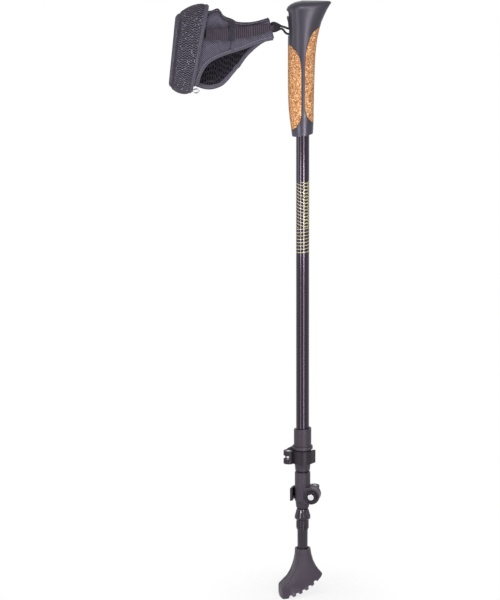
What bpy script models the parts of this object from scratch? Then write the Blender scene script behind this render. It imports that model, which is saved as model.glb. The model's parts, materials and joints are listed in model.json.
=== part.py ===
"""Adjustable nordic walking pole with an inlaid cork grip, a glove strap, two lever clamps and a paw.

Units are metres. +Z runs up the shaft, +X points the way the walker goes, and the origin is on the
shaft's axis at the middle of the hand, so heights below the hand are negative.
"""
import math

import bmesh
import bpy
from mathutils import Matrix, Vector

# Clearances
SEAT_GAP = 0.0003
SLIDE_GAP = 0.0004
FABRIC_GAP = 0.0007
SHOULDER_GAP = 0.0011

# Shaft
TUBE_WALL = 0.0006
LOWER_TUBE_RADIUS = 0.0050
MIDDLE_TUBE_RADIUS = LOWER_TUBE_RADIUS + SLIDE_GAP + TUBE_WALL
UPPER_TUBE_RADIUS = MIDDLE_TUBE_RADIUS + SLIDE_GAP + TUBE_WALL
HAND_TO_UPPER_BOLT = 0.4088
MIDDLE_TUBE_TOP = 0.0300
LOWER_TUBE_TOP = 0.0120
GUIDE_LENGTH = 0.0120
GUIDE_CAP = 0.0030

# Grip outline: the barrel between the base and the neck, then the hooked head
GRIP_BASE_DEPTH = 0.0568
GRIP_BASE_TILT = 0.14
NECK_HEIGHT = 0.0460
HEAD_CREASE_HEIGHT = 0.0760
DOME_HEIGHT = 0.0090
# Share of the barrel's length, reach to the rear, reach to the front, half width
BARREL_STATIONS = (
    (0.00, 0.0112, 0.0109, 0.0104),
    (0.10, 0.0126, 0.0114, 0.0112),
    (0.27, 0.0147, 0.0116, 0.0121),
    (0.52, 0.0155, 0.0122, 0.0130),
    (0.82, 0.0155, 0.0133, 0.0134),
    (1.00, 0.0155, 0.0155, 0.0134),
)
# Share of the height from the neck to the head's crease, then the same three reaches
HEAD_STATIONS = (
    (0.30, 0.0154, 0.0175, 0.0134),
    (0.57, 0.0155, 0.0198, 0.0132),
    (0.80, 0.0159, 0.0228, 0.0130),
    (1.00, 0.0170, 0.0256, 0.0128),
)
# Share of the height from the crease to the top, then the same three reaches
DOME_STATIONS = (
    (0.30, 0.0158, 0.0272, 0.0122),
    (0.58, 0.0128, 0.0288, 0.0107),
    (0.80, 0.0085, 0.0300, 0.0084),
    (0.95, 0.0020, 0.0285, 0.0052),
)
GRIP_RING_SIDES = 28
LONG_RING_STEP = 0.0150
TUBE_SOCKET_ABOVE_HAND = 0.0410

# Cork panels, inlaid on both sides of a rib that runs down each flank
CORK_THICKNESS = 0.0030
FRONT_RIB_REACH = 0.0023
REAR_RIB_REACH = 0.0016
FRONT_CORK_TOP = 0.0580
FRONT_CORK_BOTTOM = -0.0456
REAR_CORK_TOP = 0.0400
REAR_CORK_BOTTOM = -0.0525
CORK_BULGE = 0.0162
FRONT_CORK_TOP_CURVE = 0.0400
REAR_CORK_TOP_CURVE = 0.0256
CORK_BOTTOM_CURVE = 0.0195
CORK_EDGE_STEPS = 6

# Release trigger in a slot at the rear of the head
SLOT_HALF_WIDTH = 0.0050
SLOT_FLOOR_ABOVE_NECK = 0.0020
SLOT_ROOF_BELOW_CREASE = 0.0015
SLOT_DEPTH_LINE = -0.0004
TRIGGER_PIVOT_X = -0.0040
TRIGGER_PIVOT_ABOVE_FLOOR = 0.0130
TRIGGER_PIN_RADIUS = 0.0010
TRIGGER_PIN_LENGTH = 0.0180
TRIGGER_BOSS_RADIUS = 0.0030
TRIGGER_GATE_BELOW_PIVOT = 0.0037
TRIGGER_GATE_CHAMFER = 0.0005
TRIGGER_TOOTH_REACH = 0.0167
# The rocker's rear end: distance in front of the tooth's tip, then height over the boss
TRIGGER_TOOTH = (
    (0.0050, 0.0000), (0.0036, 0.0004), (0.0026, 0.0048), (0.0005, 0.0046),
    (0.0000, 0.0039), (0.0007, 0.0012), (0.0012, -0.0008),
)
TRIGGER_GATE_REACH = (0.0017, 0.0024)
CATCH_PIN_X = -0.0106
CATCH_PIN_RADIUS = 0.0010
CATCH_PIN_ROOT = 0.0040
SPRING_RADIUS = 0.0020
SPRING_WIRE_RADIUS = 0.00025
SPRING_TURNS = 4
SPRING_POINTS_A_TURN = 8

# Cord loop between the catch pin and the strap's webbing: x from the shaft's axis, y, height over the pin
CORD_RADIUS = 0.0012
LOOP_ABOVE_FLOOR = 0.0055
LOOP_POINTS = (
    (-0.0080, 0.0000, 0.0000), (-0.0087, 0.0018, 0.0006), (-0.0106, 0.0026, 0.0013),
    (-0.0135, 0.0022, 0.0021), (-0.0160, 0.0016, 0.0030), (-0.0190, 0.0014, 0.0040),
    (-0.0225, 0.0014, 0.0047), (-0.0255, 0.0008, 0.0065), (-0.0283, 0.0002, 0.0080),
    (-0.0312, 0.0000, 0.0084), (-0.0330, 0.0000, 0.0070), (-0.0334, 0.0000, 0.0039),
    (-0.0330, 0.0000, 0.0008), (-0.0312, 0.0000, -0.0006), (-0.0283, -0.0002, -0.0002),
    (-0.0255, -0.0008, 0.0011), (-0.0225, -0.0014, 0.0024), (-0.0202, -0.0015, 0.0010),
    (-0.0182, -0.0016, -0.0016), (-0.0160, -0.0017, -0.0030), (-0.0135, -0.0022, -0.0029),
    (-0.0106, -0.0026, -0.0014), (-0.0087, -0.0018, -0.0006),
)

# Hand strap: two leaves of mesh that join at the web and open towards the wrist.
# Its places are taken from the hinge, the middle of the cord in the webbing's fold.
STRAP_HINGE_X = -0.0332
STRAP_HINGE_ABOVE_LOOP = 0.0039
LEAF_START_X = -0.0018
LEAF_END_X = -0.0748
LEAF_THICKNESS = 0.0014
LEAF_WEB_GAP = 0.0003
LEAF_WRIST_DEPTH = 0.0138
LEAF_LEAN = 0.13
TUBE_CENTRE_AT_WEB = -0.0054
TUBE_CENTRE_AT_WRIST = -0.0234
TUBE_REACH_AT_WEB = 0.0180
TUBE_REACH_AT_WRIST = 0.0415
TOP_EDGE = (
    (-0.0748, 0.0066), (-0.0688, 0.0116), (-0.0655, 0.0152), (-0.0603, 0.0178), (-0.0545, 0.0190),
    (-0.0509, 0.0126), (-0.0468, 0.0096), (-0.0416, 0.0079), (-0.0364, 0.0048), (-0.0260, 0.0039),
    (-0.0155, 0.0050), (-0.0051, 0.0076), (-0.0018, 0.0088),
)
FRONT_LOW_EDGE = (
    (-0.0748, -0.0604), (-0.0703, -0.0594), (-0.0686, -0.0494), (-0.0636, -0.0384),
    (-0.0549, -0.0312), (-0.0476, -0.0274), (-0.0375, -0.0238), (-0.0261, -0.0201),
    (-0.0144, -0.0156), (-0.0018, -0.0114),
)
REAR_LOW_EDGE = (
    (-0.0748, -0.0604), (-0.0674, -0.0642), (-0.0610, -0.0662), (-0.0548, -0.0659),
    (-0.0476, -0.0619), (-0.0368, -0.0466), (-0.0262, -0.0308), (-0.0177, -0.0219),
    (-0.0093, -0.0150), (-0.0018, -0.0112),
)
WEBBING_WIDTH = 0.0118
WEBBING_THICKNESS = 0.0012
WEBBING_CENTRE_Z = -0.0054
WEBBING_FRONT_END = -0.0628
WEBBING_REAR_END = -0.0408
FOLD_WIDTH = 0.0054
FOLD_REACH = 0.0026
FOLD_TAPER_POWER = 14
PATCH_THICKNESS = 0.0009
PATCH_START_X = -0.0038
PATCH_END_X = -0.0413
PATCH_MARGIN = 0.0020

# Wrist band, a padded ring that leans back a little and is smaller at its wrist edge
BAND_CENTRE = Vector((-0.0882, 0.0, -0.0226))
BAND_HALF_HEIGHT = 0.0420
BAND_HALF_DEPTH = 0.0195
BAND_LEAN = math.radians(9.0)
BAND_THICKNESS = 0.0026
BAND_TOP_WIDTH = 0.0334
BAND_FOOT_WIDTH = 0.0252
BAND_TAPER = 0.105
BAND_BULGE = 0.060
FLAP_WIDTH_SHARE = 0.80
FLAP_THICKNESS = 0.0012
FLAP_START = math.radians(25)
FLAP_END = math.radians(165)
FOOT_RING_RADIUS = 0.0032
FOOT_RING_FLATNESS = 0.62
FOOT_RING_RISE = 0.0018
FOOT_RING_WIRE = 0.0008

# Lever clamps: the same lever, bolt and knob on two collars
EAR_RADIUS = 0.0092
EAR_CENTRE_X = 0.0104
FRONT_EAR_FACE = -0.0090
REAR_EAR_FACE = 0.0050
EAR_ROOT_X = 0.0020
EAR_RECESS_RIM = 0.0013
EAR_RECESS_DEPTH = 0.0008
CLAMP_SLIT = 0.0018
BOLT_X = 0.0109
BOLT_RADIUS = 0.0015
BOLT_HEAD_RADIUS = 0.0032
BOLT_HEAD_HEIGHT = 0.0014
BARREL_RADIUS = 0.0025
CAM_RADIUS = 0.0057
CAM_OFFSET = 0.0003
LEVER_HALF_HEIGHT = 0.0071
LEVER_INNER_RADIUS = 0.0100
LEVER_THICKNESS = 0.0024
LEVER_START_ANGLE = math.radians(62)
LEVER_END_ANGLE = math.radians(203)
LEVER_FLARE = 0.0012
LEVER_FLARE_ANGLE = math.radians(24)
FORK_HALF_SLOT = 0.0022
KNOB_RADIUS = 0.0062
KNOB_HEIGHT = 0.0036
KNOB_SCALLOPS = 8
SCALLOP_RADIUS = 0.0012
SCALLOP_DEPTH = 0.0006
EDGE_CUT = 0.0006
COLLAR_WALL = 0.0024
BAND_HALF_REACH = 0.0078
COLLAR_SEAT_RISE = 0.0023
UPPER_SLEEVE_TOP = 0.0318
LOWER_SLEEVE_TOP = 0.0253
UPPER_COLLAR_TAIL = 0.0165
LOWER_COLLAR_TAIL = 0.0153
FLANGE_EXTRA = 0.0016
FLANGE_HEIGHT = 0.0034
SLEEVE_RIM_SLANT = 0.12
UPPER_CLAMP_TURN = math.radians(150)
LOWER_CLAMP_TURN = math.radians(-10)

# Tip
FERRULE_SOCKET_DEPTH = 0.0220
FERRULE_CONE_HEIGHT = 0.0113
FERRULE_CONE_TOP_RADIUS = 0.0064
FERRULE_FLUTES = 10
FERRULE_FLUTE_DEPTH = 0.0007
FERRULE_FLUTE_RADIUS = 0.0012
FERRULE_FOOT_RIM = 0.0030
FERRULE_TOP_CUT = 0.0004
CONE_FOOT_RADIUS = 0.0086
THREAD_HEIGHT = 0.0113
THREAD_RADIUS = 0.0062
STEM_TOP_RADIUS = 0.0057
STEM_FOOT_RADIUS = 0.0054
STEM_HEIGHT = 0.0440
STEM_FOOT_CUT = 0.0012
CARBIDE_RADIUS = 0.0022
CARBIDE_REACH = 0.0060
CARBIDE_TAPER = 0.0020

# Paw, turned a little about the shaft so that its heel comes forward
PAW_TURN = math.radians(15)
PAW_RIM_BELOW_THREAD = 0.0220
PAW_SOLE_RADIUS = 0.0600
PAW_SOLE_CENTRE_X = -0.0283
PAW_SOLE_CENTRE_ABOVE_RIM = 0.0058
PAW_MOUTH_DEPTH = 0.0030
PAW_MOUTH_FLARE = 0.0008
TREAD_FACETS = 47
TREAD_GROOVES = 5
FIRST_GROOVE_ANGLE = math.radians(12.3)
# Half width of a groove and depth under the sole's edge line, from its floor out to its mouth
TREAD_GROOVE = (
    (0.0009, 0.0028), (0.0016, 0.0023), (0.0018, 0.0014), (0.0021, 0.0008), (0.0026, 0.0003),
    (0.0029, -0.0006),
)
WASHER_RADIUS = 0.0050
WASHER_THICKNESS = 0.0010
# Rear point and front point of each ring (x, then depth below the rim), half width, squareness
PAW_RINGS = (
    (-0.0081, 0.0000, 0.0085, 0.0000, 0.0081, 2.0),
    (-0.0083, 0.0075, 0.0096, 0.0070, 0.0085, 2.2),
    (-0.0089, 0.0140, 0.0112, 0.0135, 0.0089, 2.6),
    (-0.0103, 0.0205, 0.0141, 0.0200, 0.0093, 3.4),
    (-0.0124, 0.0266, 0.0174, 0.0250, 0.0096, 4.4),
    (-0.0160, 0.0326, 0.0208, 0.0290, 0.0098, 5.4),
    (-0.0205, 0.0370, 0.0216, 0.0330, 0.0099, 6.0),
    (-0.0247, 0.0412, 0.0200, 0.0400, 0.0100, 6.0),
    (-0.0249, 0.0530, 0.0160, 0.0500, 0.0100, 6.0),
    (-0.0248, 0.0600, 0.0120, 0.0600, 0.0098, 6.0),
)

# Heights that follow from the sizes above
HEAD_TOP_HEIGHT = HEAD_CREASE_HEIGHT + DOME_HEIGHT
SLOT_FLOOR = NECK_HEIGHT + SLOT_FLOOR_ABOVE_NECK
SLOT_TOP = HEAD_CREASE_HEIGHT - SLOT_ROOF_BELOW_CREASE
TRIGGER_PIVOT_Z = SLOT_FLOOR + TRIGGER_PIVOT_ABOVE_FLOOR
TRIGGER_GATE_Z = TRIGGER_PIVOT_Z - TRIGGER_GATE_BELOW_PIVOT
LOOP_HEIGHT = SLOT_FLOOR + LOOP_ABOVE_FLOOR
STRAP_HINGE_Z = LOOP_HEIGHT + STRAP_HINGE_ABOVE_LOOP
UPPER_CLAMP_Z = -HAND_TO_UPPER_BOLT
LOWER_CLAMP_Z = UPPER_CLAMP_Z - UPPER_COLLAR_TAIL - SHOULDER_GAP - LOWER_SLEEVE_TOP
FERRULE_TOP = LOWER_CLAMP_Z - LOWER_COLLAR_TAIL - SHOULDER_GAP
CONE_FOOT = FERRULE_TOP - FERRULE_CONE_HEIGHT
THREAD_FOOT = CONE_FOOT - THREAD_HEIGHT
PAW_RIM = THREAD_FOOT - PAW_RIM_BELOW_THREAD
STEM_FOOT = THREAD_FOOT - STEM_HEIGHT
LEVER_PIVOT_Y = REAR_EAR_FACE + SEAT_GAP + CAM_RADIUS + CAM_OFFSET

# Finishes: colour, roughness, metallic
FINISHES = {
    "soft_rubber": ((0.075, 0.070, 0.088), 0.55, 0.0),
    "cork": ((0.62, 0.36, 0.15), 0.80, 0.0),
    "black_nylon": ((0.045, 0.042, 0.048), 0.50, 0.0),
    "steel": ((0.62, 0.62, 0.64), 0.28, 1.0),
    "carbide": ((0.30, 0.30, 0.32), 0.35, 1.0),
    "gloss_tube": ((0.030, 0.026, 0.032), 0.18, 0.6),
    "strap_mesh": ((0.060, 0.055, 0.068), 0.90, 0.0),
    "strap_web": ((0.045, 0.040, 0.048), 0.85, 0.0),
    "strap_twill": ((0.085, 0.078, 0.098), 0.85, 0.0),
    "cord": ((0.020, 0.018, 0.022), 0.80, 0.0),
    "paw_rubber": ((0.055, 0.052, 0.060), 0.75, 0.0),
}


def clear_scene():
    """Remove whatever the file holds."""
    for item in list(bpy.data.objects):
        bpy.data.objects.remove(item)


def make_finish(node, finish):
    """Principled material of one named finish."""
    colour, roughness, metallic = FINISHES[finish]
    material = bpy.data.materials.new(node + "_" + finish)
    material.use_nodes = True
    shader = material.node_tree.nodes["Principled BSDF"]
    shader.inputs["Base Color"].default_value = (*colour, 1.0)
    shader.inputs["Roughness"].default_value = roughness
    shader.inputs["Metallic"].default_value = metallic
    return material


def make_frame(name, location=(0.0, 0.0, 0.0), turn=0.0, parent=None):
    """Empty that carries the pieces of one sub-assembly or one joint."""
    empty = bpy.data.objects.new(name, None)
    empty.location = location
    empty.rotation_euler = (0.0, 0.0, turn)
    empty.parent = parent
    bpy.context.scene.collection.objects.link(empty)
    return empty


def solid(bm):
    """Object from a bmesh, with its faces turned outwards."""
    bmesh.ops.remove_doubles(bm, verts=bm.verts, dist=0.000001)
    bmesh.ops.recalc_face_normals(bm, faces=bm.faces)
    mesh = bpy.data.meshes.new("shape")
    bm.to_mesh(mesh)
    bm.free()
    shape = bpy.data.objects.new("shape", mesh)
    bpy.context.scene.collection.objects.link(shape)
    return shape


def keep_modifiers(shape):
    """Replace a shape's mesh by the result of its modifiers."""
    bpy.context.view_layer.update()
    depsgraph = bpy.context.evaluated_depsgraph_get()
    result = bpy.data.meshes.new_from_object(shape.evaluated_get(depsgraph))
    shape.modifiers.clear()
    shape.data = result
    return shape


def combine(shape, tool, operation):
    """Apply one exact Boolean and throw its tool away."""
    boolean = shape.modifiers.new(operation.lower(), "BOOLEAN")
    boolean.operation = operation
    boolean.solver = "EXACT"
    boolean.object = tool
    keep_modifiers(shape)
    bpy.data.objects.remove(tool)
    return shape


def cut(shape, *tools):
    """Cut tools out of a shape, one after another."""
    for tool in tools:
        combine(shape, tool, "DIFFERENCE")
    return shape


def soften(shape, width, segments=1, angle=math.radians(40)):
    """Round a shape's sharp edges."""
    bevel = shape.modifiers.new("soft_edges", "BEVEL")
    bevel.width = width
    bevel.segments = segments
    bevel.limit_method = "ANGLE"
    bevel.angle_limit = angle
    return keep_modifiers(shape)


def turned(profile, sides=32):
    """Shape turned about Z from a closed profile of (radius, height) points."""
    bm = bmesh.new()
    corners = [bm.verts.new((radius, 0.0, height)) for radius, height in profile]
    edges = [bm.edges.new((corners[i - 1], corners[i])) for i in range(len(corners))]
    bmesh.ops.spin(bm, geom=corners + edges, cent=(0, 0, 0), axis=(0, 0, 1),
                   angle=2 * math.pi, steps=sides, use_merge=False)
    bmesh.ops.remove_doubles(bm, verts=bm.verts, dist=0.000002)
    for edge in [e for e in bm.edges if not e.link_faces]:
        bm.edges.remove(edge)
    for vert in [v for v in bm.verts if not v.link_edges]:
        bm.verts.remove(vert)
    return solid(bm)


def lofted(rings):
    """Shape that joins rings of equally many points and closes both ends."""
    bm = bmesh.new()
    loops = [[bm.verts.new(point) for point in ring] for ring in rings]
    count = len(rings[0])
    for lower, upper in zip(loops, loops[1:]):
        for i in range(count):
            j = (i + 1) % count
            bm.faces.new((lower[i], lower[j], upper[j], upper[i]))
    bm.faces.new(loops[0][::-1])
    bm.faces.new(loops[-1])
    return solid(bm)


def extruded(outline, low, high, axis="Z"):
    """Shape extruded from a flat outline between two heights along an axis."""
    place = {
        "Z": lambda a, b, h: (a, b, h),
        "Y": lambda a, b, h: (a, h, b),
        "X": lambda a, b, h: (h, a, b),
    }[axis]
    bm = bmesh.new()
    base = bm.faces.new([bm.verts.new(place(a, b, low)) for a, b in outline])
    moved = bmesh.ops.extrude_face_region(bm, geom=[base])["geom"]
    rise = Vector(place(0.0, 0.0, high - low))
    bmesh.ops.translate(bm, verts=[v for v in moved if isinstance(v, bmesh.types.BMVert)], vec=rise)
    return solid(bm)


def block(low, high):
    """Rectangular shape between two corners."""
    outline = [(low[0], low[1]), (high[0], low[1]), (high[0], high[1]), (low[0], high[1])]
    return extruded(outline, low[2], high[2])


def arc(centre, radius, start, end, steps):
    """Points on an arc from one angle to another."""
    return [
        (centre[0] + radius * math.cos(start + (end - start) * i / steps),
         centre[1] + radius * math.sin(start + (end - start) * i / steps))
        for i in range(steps + 1)
    ]


def rod(radius, low, high, axis="Z", at=(0.0, 0.0), sides=20):
    """Round bar along an axis, at a place across it."""
    outline = arc(at, radius, 0.0, 2 * math.pi, sides)[:-1]
    return extruded(outline, low, high, axis)


def smooth_value(points, place):
    """Value at a place on a smooth curve through (place, value) points."""
    if place <= points[0][0]:
        return points[0][1]
    if place >= points[-1][0]:
        return points[-1][1]
    index = max(i for i in range(len(points) - 1) if points[i][0] <= place)

    def slope(i):
        before = points[max(i - 1, 0)]
        after = points[min(i + 1, len(points) - 1)]
        return (after[1] - before[1]) / (after[0] - before[0])

    (x0, y0), (x1, y1) = points[index], points[index + 1]
    width = x1 - x0
    t = (place - x0) / width
    return (y0 * (2 * t ** 3 - 3 * t ** 2 + 1) + slope(index) * width * (t ** 3 - 2 * t ** 2 + t)
            + y1 * (3 * t ** 2 - 2 * t ** 3) + slope(index + 1) * width * (t ** 3 - t ** 2))


def seat(shape, node, finish, frame=None, origin=(0.0, 0.0, 0.0), smooth=True):
    """Name a shape, finish it and hang it on its frame with its origin at a point of that frame."""
    origin = Vector(origin)
    if shape.type == "MESH":
        shape.data.transform(Matrix.Translation(-origin))
        if smooth:
            shape.data.shade_smooth()
            shape.data.set_sharp_from_angle(angle=math.radians(35))
    shape.name = node
    shape.data.name = node
    shape.data.materials.clear()
    shape.data.materials.append(make_finish(node, finish))
    shape.parent = frame
    shape.location = origin
    return shape


def grip_stations():
    """Height, rear reach, front reach and half width of each ring of the grip."""
    barrel = NECK_HEIGHT + GRIP_BASE_DEPTH
    stations = [(share * barrel - GRIP_BASE_DEPTH, *reach) for share, *reach in BARREL_STATIONS]
    head = HEAD_CREASE_HEIGHT - NECK_HEIGHT
    stations += [(NECK_HEIGHT + share * head, *reach) for share, *reach in HEAD_STATIONS]
    dome = HEAD_TOP_HEIGHT - HEAD_CREASE_HEIGHT
    stations += [(HEAD_CREASE_HEIGHT + share * dome, *reach) for share, *reach in DOME_STATIONS]
    return stations


def grip_ring(height, inset):
    """One ring of the grip's skin, drawn in by an inset."""
    stations = grip_stations()
    rear, front, half_width = (
        smooth_value([(s[0], s[k]) for s in stations], height) - inset for k in (1, 2, 3))
    tilt = GRIP_BASE_TILT * max(0.0, 1.0 - (height + GRIP_BASE_DEPTH) / GRIP_BASE_DEPTH)
    ring = []
    for i in range(GRIP_RING_SIDES):
        angle = 2 * math.pi * i / GRIP_RING_SIDES
        cosine, sine = math.cos(angle), math.sin(angle)
        reach = front if cosine > 0 else rear
        x = reach * cosine
        ring.append((x, half_width * sine, height + tilt * x))
    return ring


def grip_skin(inset=0.0):
    """Closed form of the whole grip, drawn in by an inset."""
    stations = grip_stations()
    heights = [stations[0][0]]
    for (low, *_), (high, *_) in zip(stations, stations[1:]):
        if high - low > LONG_RING_STEP:
            heights.append((low + high) / 2)
        heights.append(high)
    return lofted([grip_ring(height, inset) for height in heights])


def cork_field(side, grow):
    """Prism across the grip that holds one cork panel, grown by a gap. side is 1 for the front."""
    rib = FRONT_RIB_REACH if side > 0 else REAR_RIB_REACH
    top = (FRONT_CORK_TOP if side > 0 else REAR_CORK_TOP) + grow
    bottom = (FRONT_CORK_BOTTOM if side > 0 else REAR_CORK_BOTTOM) - grow
    top_curve = FRONT_CORK_TOP_CURVE if side > 0 else REAR_CORK_TOP_CURVE
    edge = []
    for i in range(CORK_EDGE_STEPS + 1):
        angle = math.pi / 2 * i / CORK_EDGE_STEPS
        edge.append((rib - grow + CORK_BULGE * (1 - math.sin(angle)),
                     bottom + CORK_BOTTOM_CURVE * (1 - math.cos(angle))))
    for i in range(CORK_EDGE_STEPS + 1):
        angle = math.pi / 2 * i / CORK_EDGE_STEPS
        edge.append((rib - grow + CORK_BULGE * (1 - math.cos(angle)),
                     top - top_curve * (1 - math.sin(angle))))
    beyond = CORK_BULGE * 2.5
    outline = edge + [(beyond, top), (beyond, bottom)]
    reach = CORK_BULGE * 2
    return extruded([(side * x, z) for x, z in outline], -reach, reach, "Y")


def make_grip(frame):
    """Rubber core with its slot and tube socket, and the two cork panels."""
    for side, node in ((1, "front_cork"), (-1, "rear_cork")):
        panel = combine(grip_skin(), cork_field(side, 0.0), "INTERSECT")
        cut(panel, grip_skin(CORK_THICKNESS))
        seat(panel, node, "cork", frame)
    core = grip_skin()
    for side in (1, -1):
        cut(core, cut(cork_field(side, SEAT_GAP), grip_skin(CORK_THICKNESS + SEAT_GAP)))
    below = -GRIP_BASE_DEPTH * 1.2
    cut(core, rod(UPPER_TUBE_RADIUS + SEAT_GAP, below, TUBE_SOCKET_ABOVE_HAND + SEAT_GAP, sides=32))
    behind = -TRIGGER_TOOTH_REACH * 1.5
    cut(core, block((behind, -SLOT_HALF_WIDTH, SLOT_FLOOR), (SLOT_DEPTH_LINE, SLOT_HALF_WIDTH, SLOT_TOP)))
    pin_hole = TRIGGER_PIN_RADIUS + SEAT_GAP
    pin_reach = TRIGGER_PIN_LENGTH / 2 + SEAT_GAP
    cut(core, rod(pin_hole, -pin_reach, pin_reach, "Y", (TRIGGER_PIVOT_X, TRIGGER_PIVOT_Z), 12))
    root = SLOT_FLOOR - CATCH_PIN_ROOT - SEAT_GAP
    hole = rod(CATCH_PIN_RADIUS + SEAT_GAP, root, SLOT_FLOOR + pin_reach, "Z", (CATCH_PIN_X, 0.0), 12)
    cut(core, hole)
    seat(core, "grip_core", "soft_rubber", frame)


def coil_gap(points):
    """Least gap between two stretches of the spring's wire that are at least half a turn apart."""
    apart = SPRING_POINTS_A_TURN // 2
    nearest = min((points[i] - points[j]).length
                  for i in range(len(points)) for j in range(i + apart, len(points)))
    return nearest - 2 * SPRING_WIRE_RADIUS


def make_trigger(frame):
    """Rocker with its pivot pin and spring, and the catch pin that the rocker closes."""
    half = SLOT_HALF_WIDTH - SEAT_GAP
    pivot = (TRIGGER_PIVOT_X, TRIGGER_PIVOT_Z)
    top = TRIGGER_PIVOT_Z + TRIGGER_BOSS_RADIUS
    boss = arc(pivot, TRIGGER_BOSS_RADIUS, -math.pi / 2, math.pi / 2, 10)
    reach = -TRIGGER_TOOTH_REACH
    corner, foot = TRIGGER_GATE_REACH
    outline = boss + [(reach + along, top + rise) for along, rise in TRIGGER_TOOTH] + [
        (reach + corner, TRIGGER_GATE_Z + TRIGGER_GATE_CHAMFER), (reach + foot, TRIGGER_GATE_Z),
        (TRIGGER_PIVOT_X - TRIGGER_BOSS_RADIUS, TRIGGER_GATE_Z),
    ]
    rocker = extruded(outline, -half, half, "Y")
    soften(rocker, TRIGGER_GATE_CHAMFER)
    bore = TRIGGER_PIN_RADIUS + SEAT_GAP
    cut(rocker, rod(bore, -SLOT_HALF_WIDTH, SLOT_HALF_WIDTH, "Y", pivot, 16))
    origin = (TRIGGER_PIVOT_X, 0.0, TRIGGER_PIVOT_Z)
    seat(rocker, "trigger_lever", "black_nylon", frame, origin)

    pin_half = TRIGGER_PIN_LENGTH / 2
    pin = rod(TRIGGER_PIN_RADIUS, -pin_half, pin_half, "Y", pivot, 16)
    seat(pin, "trigger_pin", "steel", frame, origin)

    catch_top = TRIGGER_GATE_Z - SEAT_GAP
    catch = rod(CATCH_PIN_RADIUS, SLOT_FLOOR - CATCH_PIN_ROOT, catch_top, "Z", (CATCH_PIN_X, 0.0), 12)
    seat(catch, "catch_pin", "steel", frame, (CATCH_PIN_X, 0.0, SLOT_FLOOR))

    low = top + SEAT_GAP + SPRING_WIRE_RADIUS
    high = SLOT_TOP - SEAT_GAP - SPRING_WIRE_RADIUS
    count = SPRING_TURNS * SPRING_POINTS_A_TURN
    middle_x = (TRIGGER_PIVOT_X + reach + TRIGGER_TOOTH[0][0]) / 2
    coil = []
    for i in range(count + 1):
        angle = 2 * math.pi * i / SPRING_POINTS_A_TURN
        rise = low + (high - low) * i / count
        coil.append(Vector((middle_x + SPRING_RADIUS * math.cos(angle),
                            SPRING_RADIUS * math.sin(angle), rise)))
    print(f"trigger_spring least gap to itself {coil_gap(coil) * 1000:.2f} mm")
    spring = wire(coil, SPRING_WIRE_RADIUS, False, 1)
    seat(spring, "trigger_spring", "steel", frame)


def wire(points, radius, closed, roundness):
    """Round wire along points."""
    curve = bpy.data.curves.new("wire", "CURVE")
    curve.dimensions = "3D"
    curve.bevel_depth = radius
    curve.bevel_resolution = roundness
    curve.use_fill_caps = not closed
    spline = curve.splines.new("POLY")
    spline.points.add(len(points) - 1)
    for target, point in zip(spline.points, points):
        target.co = (*point, 1.0)
    spline.use_cyclic_u = closed
    shape = bpy.data.objects.new("wire", curve)
    bpy.context.scene.collection.objects.link(shape)
    return shape


def rounded_loop(points, between):
    """Closed smooth curve through points, with a number of points on each stretch."""
    count = len(points)
    result = []
    for i in range(count):
        before, here, there, after = (Vector(points[(i + k) % count]) for k in (-1, 0, 1, 2))
        for step in range(between):
            t = step / between
            result.append(0.5 * ((2 * here) + (there - before) * t
                          + (2 * before - 5 * here + 4 * there - after) * t ** 2
                          + (3 * here - before - 3 * there + after) * t ** 3))
    return result


def make_cord_loop(frame):
    """Cord that goes round the catch pin and through the fold of the webbing."""
    points = [Vector(p) - Vector((CATCH_PIN_X, 0.0, 0.0)) for p in LOOP_POINTS]
    loop = wire(rounded_loop(points, 2), CORD_RADIUS, True, 2)
    seat(loop, "strap_cord", "cord", frame, (CATCH_PIN_X, 0.0, LOOP_HEIGHT))


def leaf_surface(x, z, wrist_share):
    """Half depth of the hand opening at a point of the strap's side view."""
    opening = max(0.0, (wrist_share - 0.25) / 0.75)
    depth = LEAF_WRIST_DEPTH * (0.03 + 0.97 * opening ** 0.9)
    centre = TUBE_CENTRE_AT_WEB + (TUBE_CENTRE_AT_WRIST - TUBE_CENTRE_AT_WEB) * wrist_share
    reach = TUBE_REACH_AT_WEB + (TUBE_REACH_AT_WRIST - TUBE_REACH_AT_WEB) * wrist_share
    return LEAF_WEB_GAP + depth * math.sqrt(max(0.04, 1.0 - ((z - centre) / reach) ** 2))


def wrist_share_at(x):
    """Share of the way from the web to the wrist."""
    return min(1.0, max(0.0, (LEAF_START_X - x) / (LEAF_START_X - LEAF_END_X)))


def leaf_point(side, x, z, lift):
    """Point at a height over one leaf's inner face; side is -1 for the leaf next to the viewer."""
    share = wrist_share_at(x)
    depth = leaf_surface(x, z, share)
    step = 0.0005
    slope_x = (leaf_surface(x + step, z, wrist_share_at(x + step)) - depth) / step
    slope_z = (leaf_surface(x, z + step, share) - depth) / step
    outward = Vector((-slope_x, side, -slope_z)).normalized()
    return Vector((x, side * depth, z)) + outward * lift


def leaf_points(side, low_edge, columns, rows, start, end, top_margin=0.0, low_margin=0.0, lift=0.0):
    """Grid of points on one leaf, leaning back towards the wrist."""
    grid = []
    for i in range(columns + 1):
        x = start + (end - start) * i / columns
        share = wrist_share_at(x)
        top = smooth_value(TOP_EDGE, x) - top_margin
        low = smooth_value(low_edge, x) + low_margin
        column = []
        for j in range(rows + 1):
            z = top + (low - top) * j / rows
            lean = Vector((LEAF_LEAN * share ** 2 * (top - z), 0.0, 0.0))
            column.append(leaf_point(side, x, z, lift) - lean)
        grid.append(column)
    return grid


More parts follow.
